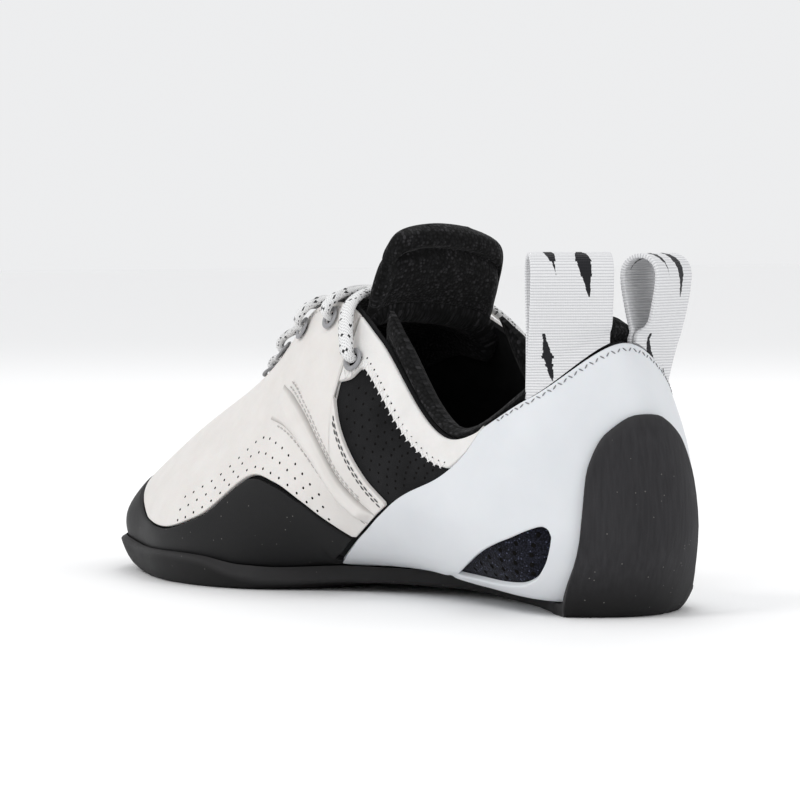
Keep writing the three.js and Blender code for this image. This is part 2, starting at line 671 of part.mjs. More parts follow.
// Webbing loops stand on the topline on both sides of the heel, each a folded band with room
// for a finger
const LOOP_ROUNDS = [["medial", 8.4], ["lateral", 9.62]];
const LOOP_REACH = 0.3;
const LOOP_NECK = 2 * WEBBING + 0.2;
const LOOP_SEGMENTS = 7;
function loopOutline(offset) {
  const half = LOOP_OPENING / 2 + WEBBING - offset;
  const neck = LOOP_NECK / 2 - offset;
  const top = LOOP_HEIGHT - offset;
  const shoulder = top - half;
  const points = [];
  for (let i = 0; i <= LOOP_SEGMENTS; i += 1) {
    const angle = (Math.PI * i) / LOOP_SEGMENTS;
    points.push([half * Math.cos(angle), shoulder + half * Math.sin(angle)]);
  }
  return { points, neck };
}
const vectors = (pairs) => pairs.map(([x, y]) => new THREE.Vector2(x, y));
for (const [name, round] of LOOP_ROUNDS) {
  const outer = loopOutline(0);
  const inner = loopOutline(WEBBING);
  const band = new THREE.Shape(vectors([
    [outer.neck, -LOOP_TUCK], [outer.neck, LOOP_SEAM], ...outer.points,
    [-outer.neck, LOOP_SEAM], [-outer.neck, -LOOP_TUCK],
  ]));
  band.holes.push(new THREE.Path(vectors([[0, LOOP_SEAM + WEBBING], ...inner.points])));
  const loop = new THREE.ExtrudeGeometry(band, { depth: LOOP_WIDTH, bevelEnabled: false, steps: 1 });
  loop.translate(0, 0, -LOOP_WIDTH / 2);
  const ahead = onLast(round + LOOP_REACH, TOP_RISE);
  const along = ahead.sub(onLast(round - LOOP_REACH, TOP_RISE)).setZ(0).normalize();
  const facing = new THREE.Vector3(along.y, -along.x, 0);
  const upright = new THREE.Vector3(0, 0, 1);
  const seat = offLast(round, TOP_RISE, CLEARANCE / 2);
  const basis = new THREE.Matrix4().makeBasis(facing, upright, facing.clone().cross(upright));
  loop.applyMatrix4(basis.setPosition(seat));
  const walls = [skin(upper), { ...skin(heelRand), hole: undefined }, liningSkin];
  add(`pull_loop_${name}`, clear(solid(loop), ...walls), WHITE_WEBBING);
}

// The origin lies on the floor under the middle of the shoe
const middle = new THREE.Box3().setFromObject(shoe).getCenter(new THREE.Vector3());
shoe.position.set(-middle.x, -middle.y, 0);

export default shoe;
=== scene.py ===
# A climbing shoe for the right foot, dressed for rendering. Metres, +X to the toe, +Y to the medial
# side, +Z up, with the floor at z = 0. Sizes below are in millimetres and turned into metres once.
import math

import bpy
import numpy as np
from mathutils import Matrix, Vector


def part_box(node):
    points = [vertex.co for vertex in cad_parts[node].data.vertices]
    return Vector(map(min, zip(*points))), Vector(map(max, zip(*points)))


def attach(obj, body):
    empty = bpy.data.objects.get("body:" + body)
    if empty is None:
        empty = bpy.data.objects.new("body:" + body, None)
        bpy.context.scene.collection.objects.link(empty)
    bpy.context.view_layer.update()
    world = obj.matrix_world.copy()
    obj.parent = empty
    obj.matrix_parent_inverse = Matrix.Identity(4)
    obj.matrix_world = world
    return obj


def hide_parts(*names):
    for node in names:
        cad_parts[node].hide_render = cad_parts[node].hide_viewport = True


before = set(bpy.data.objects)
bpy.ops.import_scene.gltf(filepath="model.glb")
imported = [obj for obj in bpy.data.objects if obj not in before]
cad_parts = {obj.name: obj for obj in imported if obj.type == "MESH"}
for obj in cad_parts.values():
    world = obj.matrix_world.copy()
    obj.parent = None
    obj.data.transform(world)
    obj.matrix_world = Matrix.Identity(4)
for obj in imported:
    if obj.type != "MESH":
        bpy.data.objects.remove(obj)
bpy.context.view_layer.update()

# Upper: one lasted shell of black microfibre, 1.6 mm thick, sewn and pulled over the last. Its outside
# is the chart that every other layer follows: "round" goes round the shoe from the toe tip by the
# medial side, "rise" from the middle of the bottom to the topline.
MM = 0.001
LENGTH = 240
BALL_WIDTH = 96
INSTEP_HEIGHT = 80
UPPER_WALL = 1.6
CLEARANCE = 0.3
INSIDE = -UPPER_WALL - CLEARANCE
MARGIN_RISE = 0.6
TOP_RISE = 4
SPINE_DROP = 1
TOE_SPINE_INSET = 20
HEEL_SPINE_INSET = 14

# Shares of length, ball width and instep height: feather edge, how far and at what height the side
# stands out, shoulder, and topline or throat edge
SECTION_COLUMNS = (
    "edge_x", "edge_y", "edge_z", "out", "out_z", "side_x", "side_y", "side_z", "top_x", "top_y", "top_z",
)
SECTIONS = np.array([
    (.980, -.050, .135, .035, .205, .883, .000, .445, .640, .040, .735),
    (.910, .225, .108, .025, .195, .822, .180, .460, .630, .090, .745),
    (.808, .345, .085, .020, .210, .757, .250, .500, .617, .135, .775),
    (.688, .430, .085, .018, .230, .670, .300, .530, .585, .165, .860),
    (.575, .410, .100, .025, .270, .565, .330, .590, .517, .210, .990),
    (.467, .270, .150, .110, .340, .458, .345, .670, .442, .235, 1.02),
    (.350, .190, .145, .130, .350, .350, .340, .610, .362, .262, .900),
    (.217, .195, .110, .100, .300, .225, .303, .450, .215, .282, .575),
    (.095, .195, .090, .065, .260, .092, .265, .520, .095, .225, .725),
    (.035, -.020, .085, .065, .275, .021, -.010, .625, .054, .000, .905),
    (.092, -.270, .085, .035, .250, .083, -.275, .520, .092, -.225, .725),
    (.217, -.345, .100, .025, .275, .217, -.335, .450, .212, -.282, .575),
    (.350, -.405, .122, .025, .275, .342, -.355, .595, .356, -.225, .880),
    (.467, -.450, .118, .030, .275, .458, -.375, .640, .438, -.155, 1.00),
    (.575, -.495, .090, .025, .225, .567, -.375, .570, .512, -.125, .960),
    (.688, -.520, .085, .022, .190, .679, -.385, .500, .577, -.085, .840),
    (.808, -.505, .085, .020, .175, .770, -.340, .465, .617, -.050, .770),
    (.930, -.370, .108, .028, .185, .833, -.230, .445, .630, .000, .745),
], dtype=[(name, float) for name in SECTION_COLUMNS])
ROUND = len(SECTIONS)
HEEL_ROUND = ROUND // 2


def section_rings():
    """Five points of each section from spine to topline, with one more beyond either end."""
    def points(x, y, z):
        return np.stack([SECTIONS[x] * LENGTH, SECTIONS[y] * BALL_WIDTH, SECTIONS[z] * INSTEP_HEIGHT], 1)
    edge, side, top = (points(f"{part}_x", f"{part}_y", f"{part}_z") for part in ("edge", "side", "top"))
    along = np.roll(edge, -1, 0) - np.roll(edge, 1, 0)
    away = np.stack([along[:, 1], -along[:, 0]], 1)
    away /= np.linalg.norm(away, axis=1, keepdims=True)
    wide = edge.copy()
    wide[:, :2] += away * (SECTIONS["out"] * BALL_WIDTH)[:, None]
    wide[:, 2] = SECTIONS["out_z"] * INSTEP_HEIGHT
    partner = edge[(ROUND - np.arange(ROUND)) % ROUND]
    spine = (edge + partner) / 2
    spine[:, 2] = np.minimum(edge[:, 2], partner[:, 2]) - SPINE_DROP
    spine[0] = edge[0] + (-TOE_SPINE_INSET, 0, -SPINE_DROP)
    spine[HEEL_ROUND] = edge[HEEL_ROUND] + (HEEL_SPINE_INSET, 0, -SPINE_DROP)
    below = partner.copy()
    for end in (0, HEEL_ROUND):
        below[end] = 2 * spine[end] - edge[end]
    return np.stack([below, spine, edge, wide, side, top, 2 * top - side], 1)


RINGS = section_rings()


def spline(points, share):
    """Centripetal Catmull-Rom between the two middle points of four."""
    gaps = [np.sqrt(np.linalg.norm(b - a, axis=-1, keepdims=True)) for a, b in zip(points, points[1:])]
    knots = [0 * gaps[0]]
    for gap in gaps:
        knots.append(knots[-1] + np.maximum(gap, 1e-3))
    at = knots[1] + share * (knots[2] - knots[1])

    def blend(a, b, start, end):
        return a + (b - a) * (at - start) / (end - start)
    first = [blend(points[i], points[i + 1], knots[i], knots[i + 1]) for i in range(3)]
    second = [blend(first[i], first[i + 1], knots[i], knots[i + 2]) for i in range(2)]
    return blend(second[0], second[1], knots[1], knots[2])


def on_last(rounds, rises):
    """Points of the upper's outside, in the chart's own millimetres."""
    rounds, rises = np.broadcast_arrays(np.asarray(rounds, float), np.asarray(rises, float))
    column = np.floor(rounds).astype(int)
    row = np.clip(np.floor(rises), 0, TOP_RISE - 1).astype(int)
    near = [
        spline([RINGS[(column + step) % ROUND, row + k] for k in range(4)], (rises - row)[..., None])
        for step in (-1, 0, 1, 2)
    ]
    return spline(near, (rounds - column)[..., None])


def outward(rounds, rises, reach=0.02):
    """Unit normals of the upper's outside."""
    rounds, rises = np.broadcast_arrays(np.asarray(rounds, float), np.asarray(rises, float))
    around = on_last(rounds + reach, rises) - on_last(rounds - reach, rises)
    normal = np.cross(around, on_last(rounds, rises + reach) - on_last(rounds, rises - reach))
    normal /= np.maximum(np.linalg.norm(normal, axis=-1, keepdims=True), 1e-9)
    return np.where(rises[..., None] < 1e-6, (0.0, 0.0, -1.0), normal)


# The chart's place in the frame: both start from the upper's lowest x and y on the same columns
CAD_STEP = 3 / 8
CAD_RISES = (.6, .65, .85, 1, 1.15, 1.4, 1.8, 2.25, 2.75, 3.25, 3.65, 4)
chart = on_last(np.arange(0, ROUND, CAD_STEP)[:, None], np.array(CAD_RISES)[None])
chart_low = chart.reshape(-1, 3).min(0)
SHIFT = np.array(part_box("upper")[0]) / MM - chart_low
SHIFT[2] = 0


def off_last(rounds, rises, depth):
    """Points at a depth outside (+) or inside (-) the upper's outside, in the frame's millimetres."""
    depth = np.asarray(depth, float)
    return on_last(rounds, rises) + outward(rounds, rises) * depth[..., None] + SHIFT


def level(rise):
    """An edge that stays at one rise."""
    return lambda rounds: np.full(np.shape(rounds), float(rise))


def edge_curve(rows):
    """Smooth rise over round through the rows that never overshoots them."""
    x, y = np.array(rows, float).T
    slope = np.diff(y) / np.diff(x)
    before, after = np.r_[slope[0], slope], np.r_[slope, slope[-1]]
    same = before * after > 0
    tangent = np.where(same, 2 * before * after / np.where(same, before + after, 1), 0)

    def rise(at):
        at = np.clip(np.asarray(at, float), x[0], x[-1])
        i = np.clip(np.searchsorted(x, at, side="right") - 1, 0, len(x) - 2)
        width = x[i + 1] - x[i]
        u = (at - x[i]) / width
        keep = (1 + 2 * u) * (1 - u) ** 2 * y[i] + u * u * (3 - 2 * u) * y[i + 1]
        return keep + width * (u * (1 - u) ** 2 * tangent[i] - u * u * (1 - u) * tangent[i + 1])
    return rise


def smoothstep(value, low, high):
    share = np.clip((value - low) / (high - low), 0, 1)
    return share * share * (3 - 2 * share)


# A rim is a quarter circle: how far each of its rows lies from the edge and below the face
RIM_TURN = np.radians((0, 30, 60, 90))
RIM_AWAY = 1 - np.cos(RIM_TURN)
RIM_DROP = 1 - np.sin(RIM_TURN)


def spread(start, end, length, rim, cell, marks=()):
    """Places from start to end about a cell apart, with a rim's rows at both ends."""
    scale = (end - start) / max(length, 1e-6)
    ends = RIM_AWAY * rim * scale
    inner = np.linspace(start + ends[-1], end - ends[-1], max(2, int(length / cell)) + 1)[1:-1]
    keep = [place for place in inner if all(abs(place - mark) > 0.4 * cell * scale for mark in marks)]
    places = np.array(sorted([*(start + ends), *keep, *marks, *(end - ends[::-1])]))
    drop = np.interp(np.minimum(places - start, end - places), ends, RIM_DROP * rim) if rim else 0 * places
    return places, drop


def strip_rows(low, high, length, rim, count):
    """Rises of one strip for every column, and how far each row drops for the rim."""
    rim = np.minimum(rim, length / 2.2)
    scale = (high - low) / np.maximum(length, 1e-6)
    ends = RIM_AWAY[None] * (rim * scale)[:, None]
    share = np.linspace(0, 1, count + 2)[1:-1][None]
    inner = low[:, None] + ends[:, -1:] + share * ((high - low)[:, None] - 2 * ends[:, -1:])
    rises = np.concatenate([low[:, None] + ends, inner, (high[:, None] - ends)[:, ::-1]], 1)
    falls = RIM_DROP[None] * rim[:, None]
    return rises, np.concatenate([falls, 0 * inner, falls[:, ::-1]], 1)


def distinct(corners, ids):
    """The corners of a face, with those that fall together kept once."""
    seen = []
    for corner in corners:
        if all(ids[corner] != ids[other] for other in seen):
            seen.append(corner)
    return seen


def closed_shell(outer, inner, open_cells, uv, name, marks=None):
    """A closed mesh between two skins over a grid of cells. uv is the pattern's place in millimetres."""
    n, m = outer.shape[:2]
    points = np.concatenate([outer.reshape(-1, 3), inner.reshape(-1, 3)])
    _, first, ids = np.unique(np.round(points, 4), axis=0, return_index=True, return_inverse=True)
    ids = ids.reshape(-1)
    corner = np.arange(n * m).reshape(n, m)
    cells = np.stack([corner[:-1, :-1], corner[1:, :-1], corner[1:, 1:], corner[:-1, 1:]], -1)[~open_cells]
    faces, edges = [], {}
    for cell in cells.tolist():
        seen = distinct(cell, ids)
        if len(seen) < 3:
            continue
        faces.append(seen)
        faces.append(distinct([c + n * m for c in reversed(seen)], ids))
        for a, b in zip(seen, seen[1:] + seen[:1]):
            if edges.pop((ids[b], ids[a]), None) is None:
                edges[ids[a], ids[b]] = (a, b)
    faces += [distinct([b, a, a + n * m, b + n * m], ids) for a, b in edges.values()]
    faces = [face for face in faces if len(face) > 2]
    mesh = bpy.data.meshes.new(name)
    mesh.from_pydata((points[first] * MM).tolist(), [], [[int(ids[c]) for c in face] for face in faces])
    layer = mesh.uv_layers.new(name="chart")
    corner_uv = uv.reshape(-1, 2)[np.concatenate(faces) % (n * m)]
    layer.data.foreach_set("uv", corner_uv.astype(np.float32).ravel())
    for key, values in (marks or {}).items():
        flat = np.tile(np.broadcast_to(values, (n, m)).reshape(-1), 2)[first]
        mesh.attributes.new(key, "FLOAT", "POINT").data.foreach_set("value", flat.astype(np.float32))
    return shown(mesh, name)


def shown(mesh, name, crease=40):
    """The mesh as a smooth object of the scene, with edges sharper than crease kept crisp."""
    mesh.validate()
    mesh.shade_smooth()
    mesh.set_sharp_from_angle(angle=math.radians(crease))
    piece = bpy.data.objects.new(name, mesh)
    bpy.context.scene.collection.objects.link(piece)
    return piece


# About how many millimetres a whole round and a whole rise measure, for patterns that follow the chart
ROUND_MM = 31
RISE_MM = 32


def layer_piece(name, start, end, low, high, inner, outer, rim=0.5, cell=2.0, hole=None, shape=None,
                columns=(), marks=None):
    """One layer of the shoe as a closed, softly edged shell over a patch of the chart."""
    closed = end - start >= ROUND
    length = np.linalg.norm(np.diff(on_last(np.linspace(start, end, 200), 2.0), axis=0), axis=1).sum()
    rounds, end_drop = spread(start, end, length, 0 if closed else rim, cell, columns)
    bottom = np.broadcast_to(low(rounds), rounds.shape).astype(float)
    top = np.maximum(np.broadcast_to(high(rounds), rounds.shape), bottom)
    cuts = [(bottom, top)]
    if hole:
        a, b = (np.clip(values, bottom, top) for values in hole(rounds))
        cuts = [(bottom, a), (b, top)]
    rises, drops = [], []
    for k, (lower, upper) in enumerate(cuts):
        share = np.linspace(0, 1, 40)
        run = on_last(rounds[:, None], lower[:, None] + (upper - lower)[:, None] * share[None])
        tall = np.linalg.norm(np.diff(run, axis=1), axis=2).sum(1)
        rows, falls = strip_rows(lower, upper, tall, rim, max(1, int(tall.max() / cell)))
        if hole:
            gap = np.clip((b - a) * RISE_MM / (2 * rim), 0, 1)[:, None]
            seam = slice(-len(RIM_DROP), None) if k == 0 else slice(0, len(RIM_DROP))
            falls[:, seam] *= gap
        rises.append(rows)
        drops.append(falls)
    seam_row = rises[0].shape[1] - 1
    rises = np.concatenate(rises, 1)
    drop = np.maximum(np.concatenate(drops, 1), end_drop[:, None])
    open_cells = np.zeros((len(rounds) - 1, rises.shape[1] - 1), bool)
    if hole:
        open_cells[:, seam_row] = True
    grid = np.broadcast_to(rounds[:, None], rises.shape)
    skins = []
    for depth, fall in ((outer, drop), (inner, 0)):
        value = depth(grid, rises) if callable(depth) else np.full(rises.shape, float(depth))
        points = off_last(grid, rises, value - fall)
        skins.append(shape(points, grid, rises) if shape and depth is outer else points)
    found = marks(grid, rises) if marks else None
    middle = (skins[0] + skins[1]) / 2
    climb = np.cumsum(np.linalg.norm(np.diff(middle, axis=1, prepend=middle[:, :1]), axis=2), axis=1)
    uv = np.stack([grid * ROUND_MM, rises[:, :1] * RISE_MM + climb], -1)
    return closed_shell(skins[0], skins[1], open_cells, uv, name, found)


WINDOW_FROM = 6.84
WINDOW_TO = 8.2
WINDOW_MARGIN = 0.2
KNIT_FROM = 0.9
KNIT_TO = 2.35
WINDOW_TOP = edge_curve([
    (6.84, 1.08), (7.2, 1.42), (7.52, 1.74), (7.84, 2.02), (8.04, 2.15), (8.13, 2.18), (8.18, 2.14),
    (8.2, 2.05),
])
WINDOW_BOTTOM = edge_curve([
    (6.84, 1.08), (7.2, 1.1), (7.52, 1.12), (7.84, 1.18), (8.04, 1.34), (8.14, 1.62), (8.2, 2.05),
])


def knit_window(rounds, rises):
    """1 where the heel rand's window lets the speckled knit show."""
    near = (rounds > WINDOW_FROM - WINDOW_MARGIN) & (rounds < WINDOW_TO + WINDOW_MARGIN)
    return {"window": (near & (rises > KNIT_FROM) & (rises < KNIT_TO)).astype(float)}


class Finish:
    """A material's node tree: node() adds one node, and a socket in its inputs is linked."""

    def __init__(self, name, **sockets):
        self.material = bpy.data.materials.new(name)
        self.material.use_nodes = True
        self.tree = self.material.node_tree
        self.shader = self.tree.nodes["Principled BSDF"]
        for socket, value in sockets.items():
            self.shader.inputs[socket.replace("_", " ")].default_value = value

    def node(self, kind, inputs=(), **settings):
        return add_node(self.tree, kind, inputs, **settings)

    def feed(self, socket, source):
        self.tree.links.new(source, self.shader.inputs[socket])

    def bump(self, height, strength, distance):
        bump = self.node("ShaderNodeBump", {
            "Height": height, "Strength": strength, "Distance": distance * MM,
        })
        self.feed("Normal", bump.outputs["Normal"])


def add_node(tree, kind, inputs=(), **settings):
    node = tree.nodes.new(kind)
    for key, value in settings.items():
        setattr(node, key, value)
    for key, value in dict(inputs).items():
        if isinstance(value, bpy.types.NodeSocket):
            tree.links.new(value, node.inputs[key])
        else:
            node.inputs[key].default_value = value
    return node


def effect(name, inputs, outputs):
    """An empty shader node group with named inputs (and their defaults) and outputs."""
    tree = bpy.data.node_groups.new(name, "ShaderNodeTree")
    for key, value in inputs.items():
        tree.interface.new_socket(key, in_out="INPUT", socket_type="NodeSocketFloat").default_value = value
    for key in outputs:
        tree.interface.new_socket(key, in_out="OUTPUT", socket_type="NodeSocketFloat")
    return tree, tree.nodes.new("NodeGroupInput"), tree.nodes.new("NodeGroupOutput")


def math_node(tree, operation, a, b=0.0):
    return add_node(tree, "ShaderNodeMath", {0: a, 1: b}, operation=operation).outputs[0]


def colour_mix(finish, factor, dark, light):
    """A colour between dark and light by a factor."""
    mix = finish.node("ShaderNodeMix", {"Factor": factor}, data_type="RGBA")
    for socket, value in ((6, dark), (7, light)):
        if isinstance(value, bpy.types.NodeSocket):
            finish.tree.links.new(value, mix.inputs[socket])
        else:
            mix.inputs[socket].default_value = (*value, 1)
    return mix.outputs[2]


def range_of(finish, value, start, end, low=0.0, high=1.0):
    """A value from start to end, spread over low to high."""
    return finish.node("ShaderNodeMapRange", {
        "Value": value, "From Min": start, "From Max": end, "To Min": low, "To Max": high,
    }).outputs["Result"]


def grain_effect():
    """Grain of a skin or a rubber from two noises: a fine height, and a broad, soft mottle."""
    tree, given, out = effect(
        "surface grain", {"Fine per metre": 2500.0, "Broad per metre": 60.0}, ("Height", "Mottle"),
    )
    coordinates = tree.nodes.new("ShaderNodeTexCoord").outputs["Object"]
    fine = add_node(tree, "ShaderNodeTexNoise", {
        "Vector": coordinates, "Scale": given.outputs["Fine per metre"], "Detail": 3.0, "Roughness": 0.6,
    })
    broad = add_node(tree, "ShaderNodeTexNoise", {
        "Vector": coordinates, "Scale": given.outputs["Broad per metre"], "Detail": 4.0, "Roughness": 0.55,
    })
    tree.links.new(fine.outputs["Fac"], out.inputs["Height"])
    tree.links.new(broad.outputs["Fac"], out.inputs["Mottle"])
    return tree


SPECK_SHARE = 0.28


def dust_effect():
    """Small pale specks and lint, few on a clean shoe."""
    tree, given, out = effect("dust specks", {"Cells per metre": 900.0, "Share": 0.03}, ("Mask",))
    coordinates = tree.nodes.new("ShaderNodeTexCoord").outputs["Object"]
    cells = add_node(tree, "ShaderNodeTexVoronoi", {
        "Vector": coordinates, "Scale": given.outputs["Cells per metre"],
    })
    pick = add_node(tree, "ShaderNodeSeparateColor", {"Color": cells.outputs["Color"]}).outputs[0]
    chosen = math_node(tree, "LESS_THAN", pick, given.outputs["Share"])
    near = math_node(tree, "LESS_THAN", cells.outputs["Distance"], SPECK_SHARE)
    tree.links.new(math_node(tree, "MULTIPLY", chosen, near), out.inputs["Mask"])
    return tree


LOOP_EDGE = 0.42
LOOP_GAP = 0.62


def knit_effect():
    """Knit of small round loops that follows the piece's own UV map, in millimetres."""
    tree, given, out = effect("knit loops", {"Loops per mm": 0.9}, ("Height", "Gap", "Speckle"))
    coordinates = tree.nodes.new("ShaderNodeTexCoord").outputs["UV"]
    cells = add_node(tree, "ShaderNodeTexVoronoi", {
        "Vector": coordinates, "Scale": given.outputs["Loops per mm"], "Randomness": 0.7,
    })
    height = math_node(tree, "SUBTRACT", 1.0, cells.outputs["Distance"])
    gap = add_node(tree, "ShaderNodeMapRange", {
        "Value": cells.outputs["Distance"], "From Min": LOOP_EDGE, "From Max": LOOP_GAP,
    })
    pick = add_node(tree, "ShaderNodeSeparateColor", {"Color": cells.outputs["Color"]}).outputs[1]
    tree.links.new(height, out.inputs["Height"])
    tree.links.new(gap.outputs["Result"], out.inputs["Gap"])
    tree.links.new(pick, out.inputs["Speckle"])
    return tree


GRAIN = grain_effect()
DUST = dust_effect()
KNIT = knit_effect()


def use(finish, tree, **inputs):
    """One shared effect placed in a material with its own values."""
    group = finish.node("ShaderNodeGroup", node_tree=tree)
    for key, value in inputs.items():
        group.inputs[key.replace("_", " ")].default_value = value
    return group.outputs


def black_microfibre():
    """Black nap, and in the window a navy knit with a few paler loops."""
    finish = Finish(
        "black microfibre", Sheen_Weight=0.04, Sheen_Roughness=0.5, Roughness=0.92, Specular_IOR_Level=0.12,
    )
    grain = use(finish, GRAIN, Fine_per_metre=4200.0, Broad_per_metre=90.0)
    knit = use(finish, KNIT, Loops_per_mm=2.0)
    window = finish.node("ShaderNodeAttribute", attribute_name="window").outputs["Fac"]
    mottle = range_of(finish, grain["Mottle"], 0.35, 0.7)
    nap = colour_mix(finish, mottle, (.006, .006, .0065), (.013, .013, .014))
    speckle = range_of(finish, knit["Speckle"], 0.84, 1.0)
    loops = colour_mix(finish, speckle, (.013, .014, .023), (.085, .093, .145))
    loops = colour_mix(finish, knit["Gap"], loops, (.003, .003, .005))
    finish.feed("Base Color", colour_mix(finish, window, nap, loops))
    height = finish.node("ShaderNodeMix", {"Factor": window}, data_type="FLOAT")
    finish.tree.links.new(grain["Height"], height.inputs[2])
    finish.tree.links.new(knit["Height"], height.inputs[3])
    finish.bump(height.outputs[0], 0.5, 0.35)
    return finish.material


MICROFIBRE = black_microfibre()


def fitted(piece, material, slot, *nodes):
    """The piece gets its material, rides on the shoe and stands for its CAD nodes."""
    if material:
        piece.data.materials.clear()
        piece.data.materials.append(material)
    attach(piece, "root")
    if nodes:
        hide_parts(*nodes)
    return piece


quarter = layer_piece(
    "quarter_shell", 0, ROUND, level(MARGIN_RISE), level(TOP_RISE), -UPPER_WALL, 0,
    rim=0.4, cell=2.2, marks=knit_window,
)
fitted(quarter, MICROFIBRE, "quarter_knit", "upper")

# Insole: a flat woven fabric sheet on a thin board, laid on the lasting margin inside the upper.
# Only its heel end shows, down in the collar.
INSOLE_EDGE = 0.84
INSOLE_SEAT = 0.6
INSOLE_SHEET = 2
WEAVE_RATE = 5200.0


def grey_weave():
    """Grey plain weave, from two crossed waves in radians per metre."""
    finish = Finish("grey insole weave", Roughness=0.95, Sheen_Weight=0.2)
    coordinates = finish.node("ShaderNodeTexCoord").outputs["Object"]
    place = finish.node("ShaderNodeSeparateXYZ", {0: coordinates}).outputs
    threads = [
        math_node(finish.tree, "SINE", math_node(finish.tree, "MULTIPLY", axis, WEAVE_RATE))
        for axis in place[:2]
    ]
    weave = math_node(finish.tree, "MULTIPLY", threads[0], threads[1])
    share = range_of(finish, weave, -1, 1)
    finish.feed("Base Color", colour_mix(finish, share, (.17, .18, .20), (.33, .34, .36)))
    finish.bump(share, 0.5, 0.2)
    return finish.material


insole = layer_piece(
    "insole_sheet", 0, ROUND, level(0), level(INSOLE_EDGE),
    INSIDE - INSOLE_SEAT - INSOLE_SHEET, INSIDE - INSOLE_SEAT, rim=0.4, cell=3,
)
fitted(insole, grey_weave(), "insole_fabric", "insole")

# Heel rand: white rubber, 1.5 mm thick, stretched and cemented from the arch round the back of the
# heel as a sling. A leaf-shaped window on the medial side shows the knit below, and a seam runs from
# the window's front tip down to the sole.
RAND_SHEET = 1.5
RAND_BOTTOM = CLEARANCE
RAND_TOP = RAND_BOTTOM + RAND_SHEET
LAP = 0.3
LAP_LOWEST = 0.03
RIM_TO = 1.15
RAND_START = 4.98
SOLE_EDGE = edge_curve([
    (0, 1.45), (1.2, 1.45), (2.4, 1.36), (3.1, 1.33), (3.6, 1.26), (4.2, 1.0), (4.6, .86), (5, .75),
    (5.5, .57), (6, .44), (6.5, .34), (7, .32), (7.5, .42), (8, .68), (8.22, .9), (8.36, 1.6),
    (8.42, 2.2), (8.5, 2.72), (8.65, 3.0), (8.9, 3.12), (9.1, 3.12), (9.35, 3.0), (9.5, 2.72),
    (9.58, 2.2), (9.64, 1.6), (9.8, 1.25), (10.2, 1.2), (12, 1.2), (14, 1.22), (16, 1.28), (17, 1.4),
    (18, 1.45),
])
RAND_FRONT = edge_curve([
    (4.96, .76), (5.2, .96), (5.52, 1.32), (5.84, 1.62), (6.24, 1.98), (6.72, 2.52), (7.16, 3.16),
    (7.34, 3.5), (7.5, 3.96), (9, 3.96),
])
SEAM = ((6.84, 1.08), (6.32, .72), (6.0, .44))
SEAM_DEPTH = 0.5
SEAM_HALF = 0.9
WINDOW_COLUMNS = (WINDOW_FROM, *np.arange(8.05, 8.19, 0.015), WINDOW_TO)


def lap_under(rounds):
    """The edge of a layer that runs in under the sole's rim."""
    return np.maximum(LAP_LOWEST, np.minimum(SOLE_EDGE(np.mod(rounds, ROUND)), RIM_TO) - LAP)


def at_heel(edge):
    """A medial edge, mirrored to the lateral side at the heel."""
    return lambda rounds: edge(np.where(rounds > HEEL_ROUND, ROUND - rounds, rounds))


def window_hole(rounds):
    inside = (rounds > WINDOW_FROM) & (rounds < WINDOW_TO)
    return WINDOW_BOTTOM(rounds), np.where(inside, WINDOW_TOP(rounds), WINDOW_BOTTOM(rounds))


def away_from_line(line, rounds, rises):
    """Distance to a line through places of the chart, in the chart's millimetres."""
    points = np.stack([rounds * ROUND_MM, rises * RISE_MM], -1)
    best = np.full(rounds.shape, 1e9)
    for start, end in zip(line, line[1:]):
        a, b = (np.array(place) * (ROUND_MM, RISE_MM) for place in (start, end))
        share = np.clip(((points - a) @ (b - a)) / ((b - a) @ (b - a)), 0, 1)[..., None]
        best = np.minimum(best, np.linalg.norm(points - a - share * (b - a), axis=-1))
    return best


def rand_depth(rounds, rises):
    """The rand's outside, with a groove along its seam."""
    return RAND_TOP - SEAM_DEPTH * np.exp(-(away_from_line(SEAM, rounds, rises) / SEAM_HALF) ** 2)


def white_rubber():
    finish = Finish(
        "white rand rubber", Roughness=0.36, Specular_IOR_Level=0.45, Coat_Weight=0.06, Coat_Roughness=0.3,
        Subsurface_Weight=0.04, Subsurface_Scale=0.002,
    )
    grain = use(finish, GRAIN, Fine_per_metre=1500.0, Broad_per_metre=35.0)
    mottle = range_of(finish, grain["Mottle"], 0.3, 0.7)
    finish.feed("Base Color", colour_mix(finish, mottle, (.655, .675, .70), (.715, .732, .755)))
    finish.feed("Roughness", range_of(finish, grain["Mottle"], 0.3, 0.7, 0.30, 0.44))
    finish.bump(grain["Height"], 0.12, 0.2)
    return finish.material


rand = layer_piece(
    "heel_sling_rand", RAND_START, ROUND - RAND_START, lap_under, at_heel(RAND_FRONT),
    RAND_BOTTOM, rand_depth, rim=0.55, cell=1.15, hole=window_hole, columns=WINDOW_COLUMNS,
)
fitted(rand, white_rubber(), "white_rubber", "heel_rand")

# Outsole: one sheet of black climbing rubber, about 4 mm under the foot and thinner up its sides,
# ground to a rounded edge. It runs on up the back of the heel as a buffed patch.
SOLE_EASE = 0.2
SOLE_SEAT = RAND_TOP + CLEARANCE + SOLE_EASE
SOLE_RUBBER = 4.4
SOLE_RIM = 1.9
HEEL_PATCH = 1.7
PATCH_HALF = 0.9
PATCH_BLEND = 0.2
PATCH_RISE = 1.6
TREAD_FROM = 0.25
TREAD_FULL = 0.95
BUFFED_MARGIN = 0.35
BUFFED_FADE = 0.5
BUFFED_FROM = 1.0
BUFFED_TO = 1.7
WORN_FULL = 0.6
WORN_REACH = 3.2
STROKES_PER_METRE = (900, 900, 90)


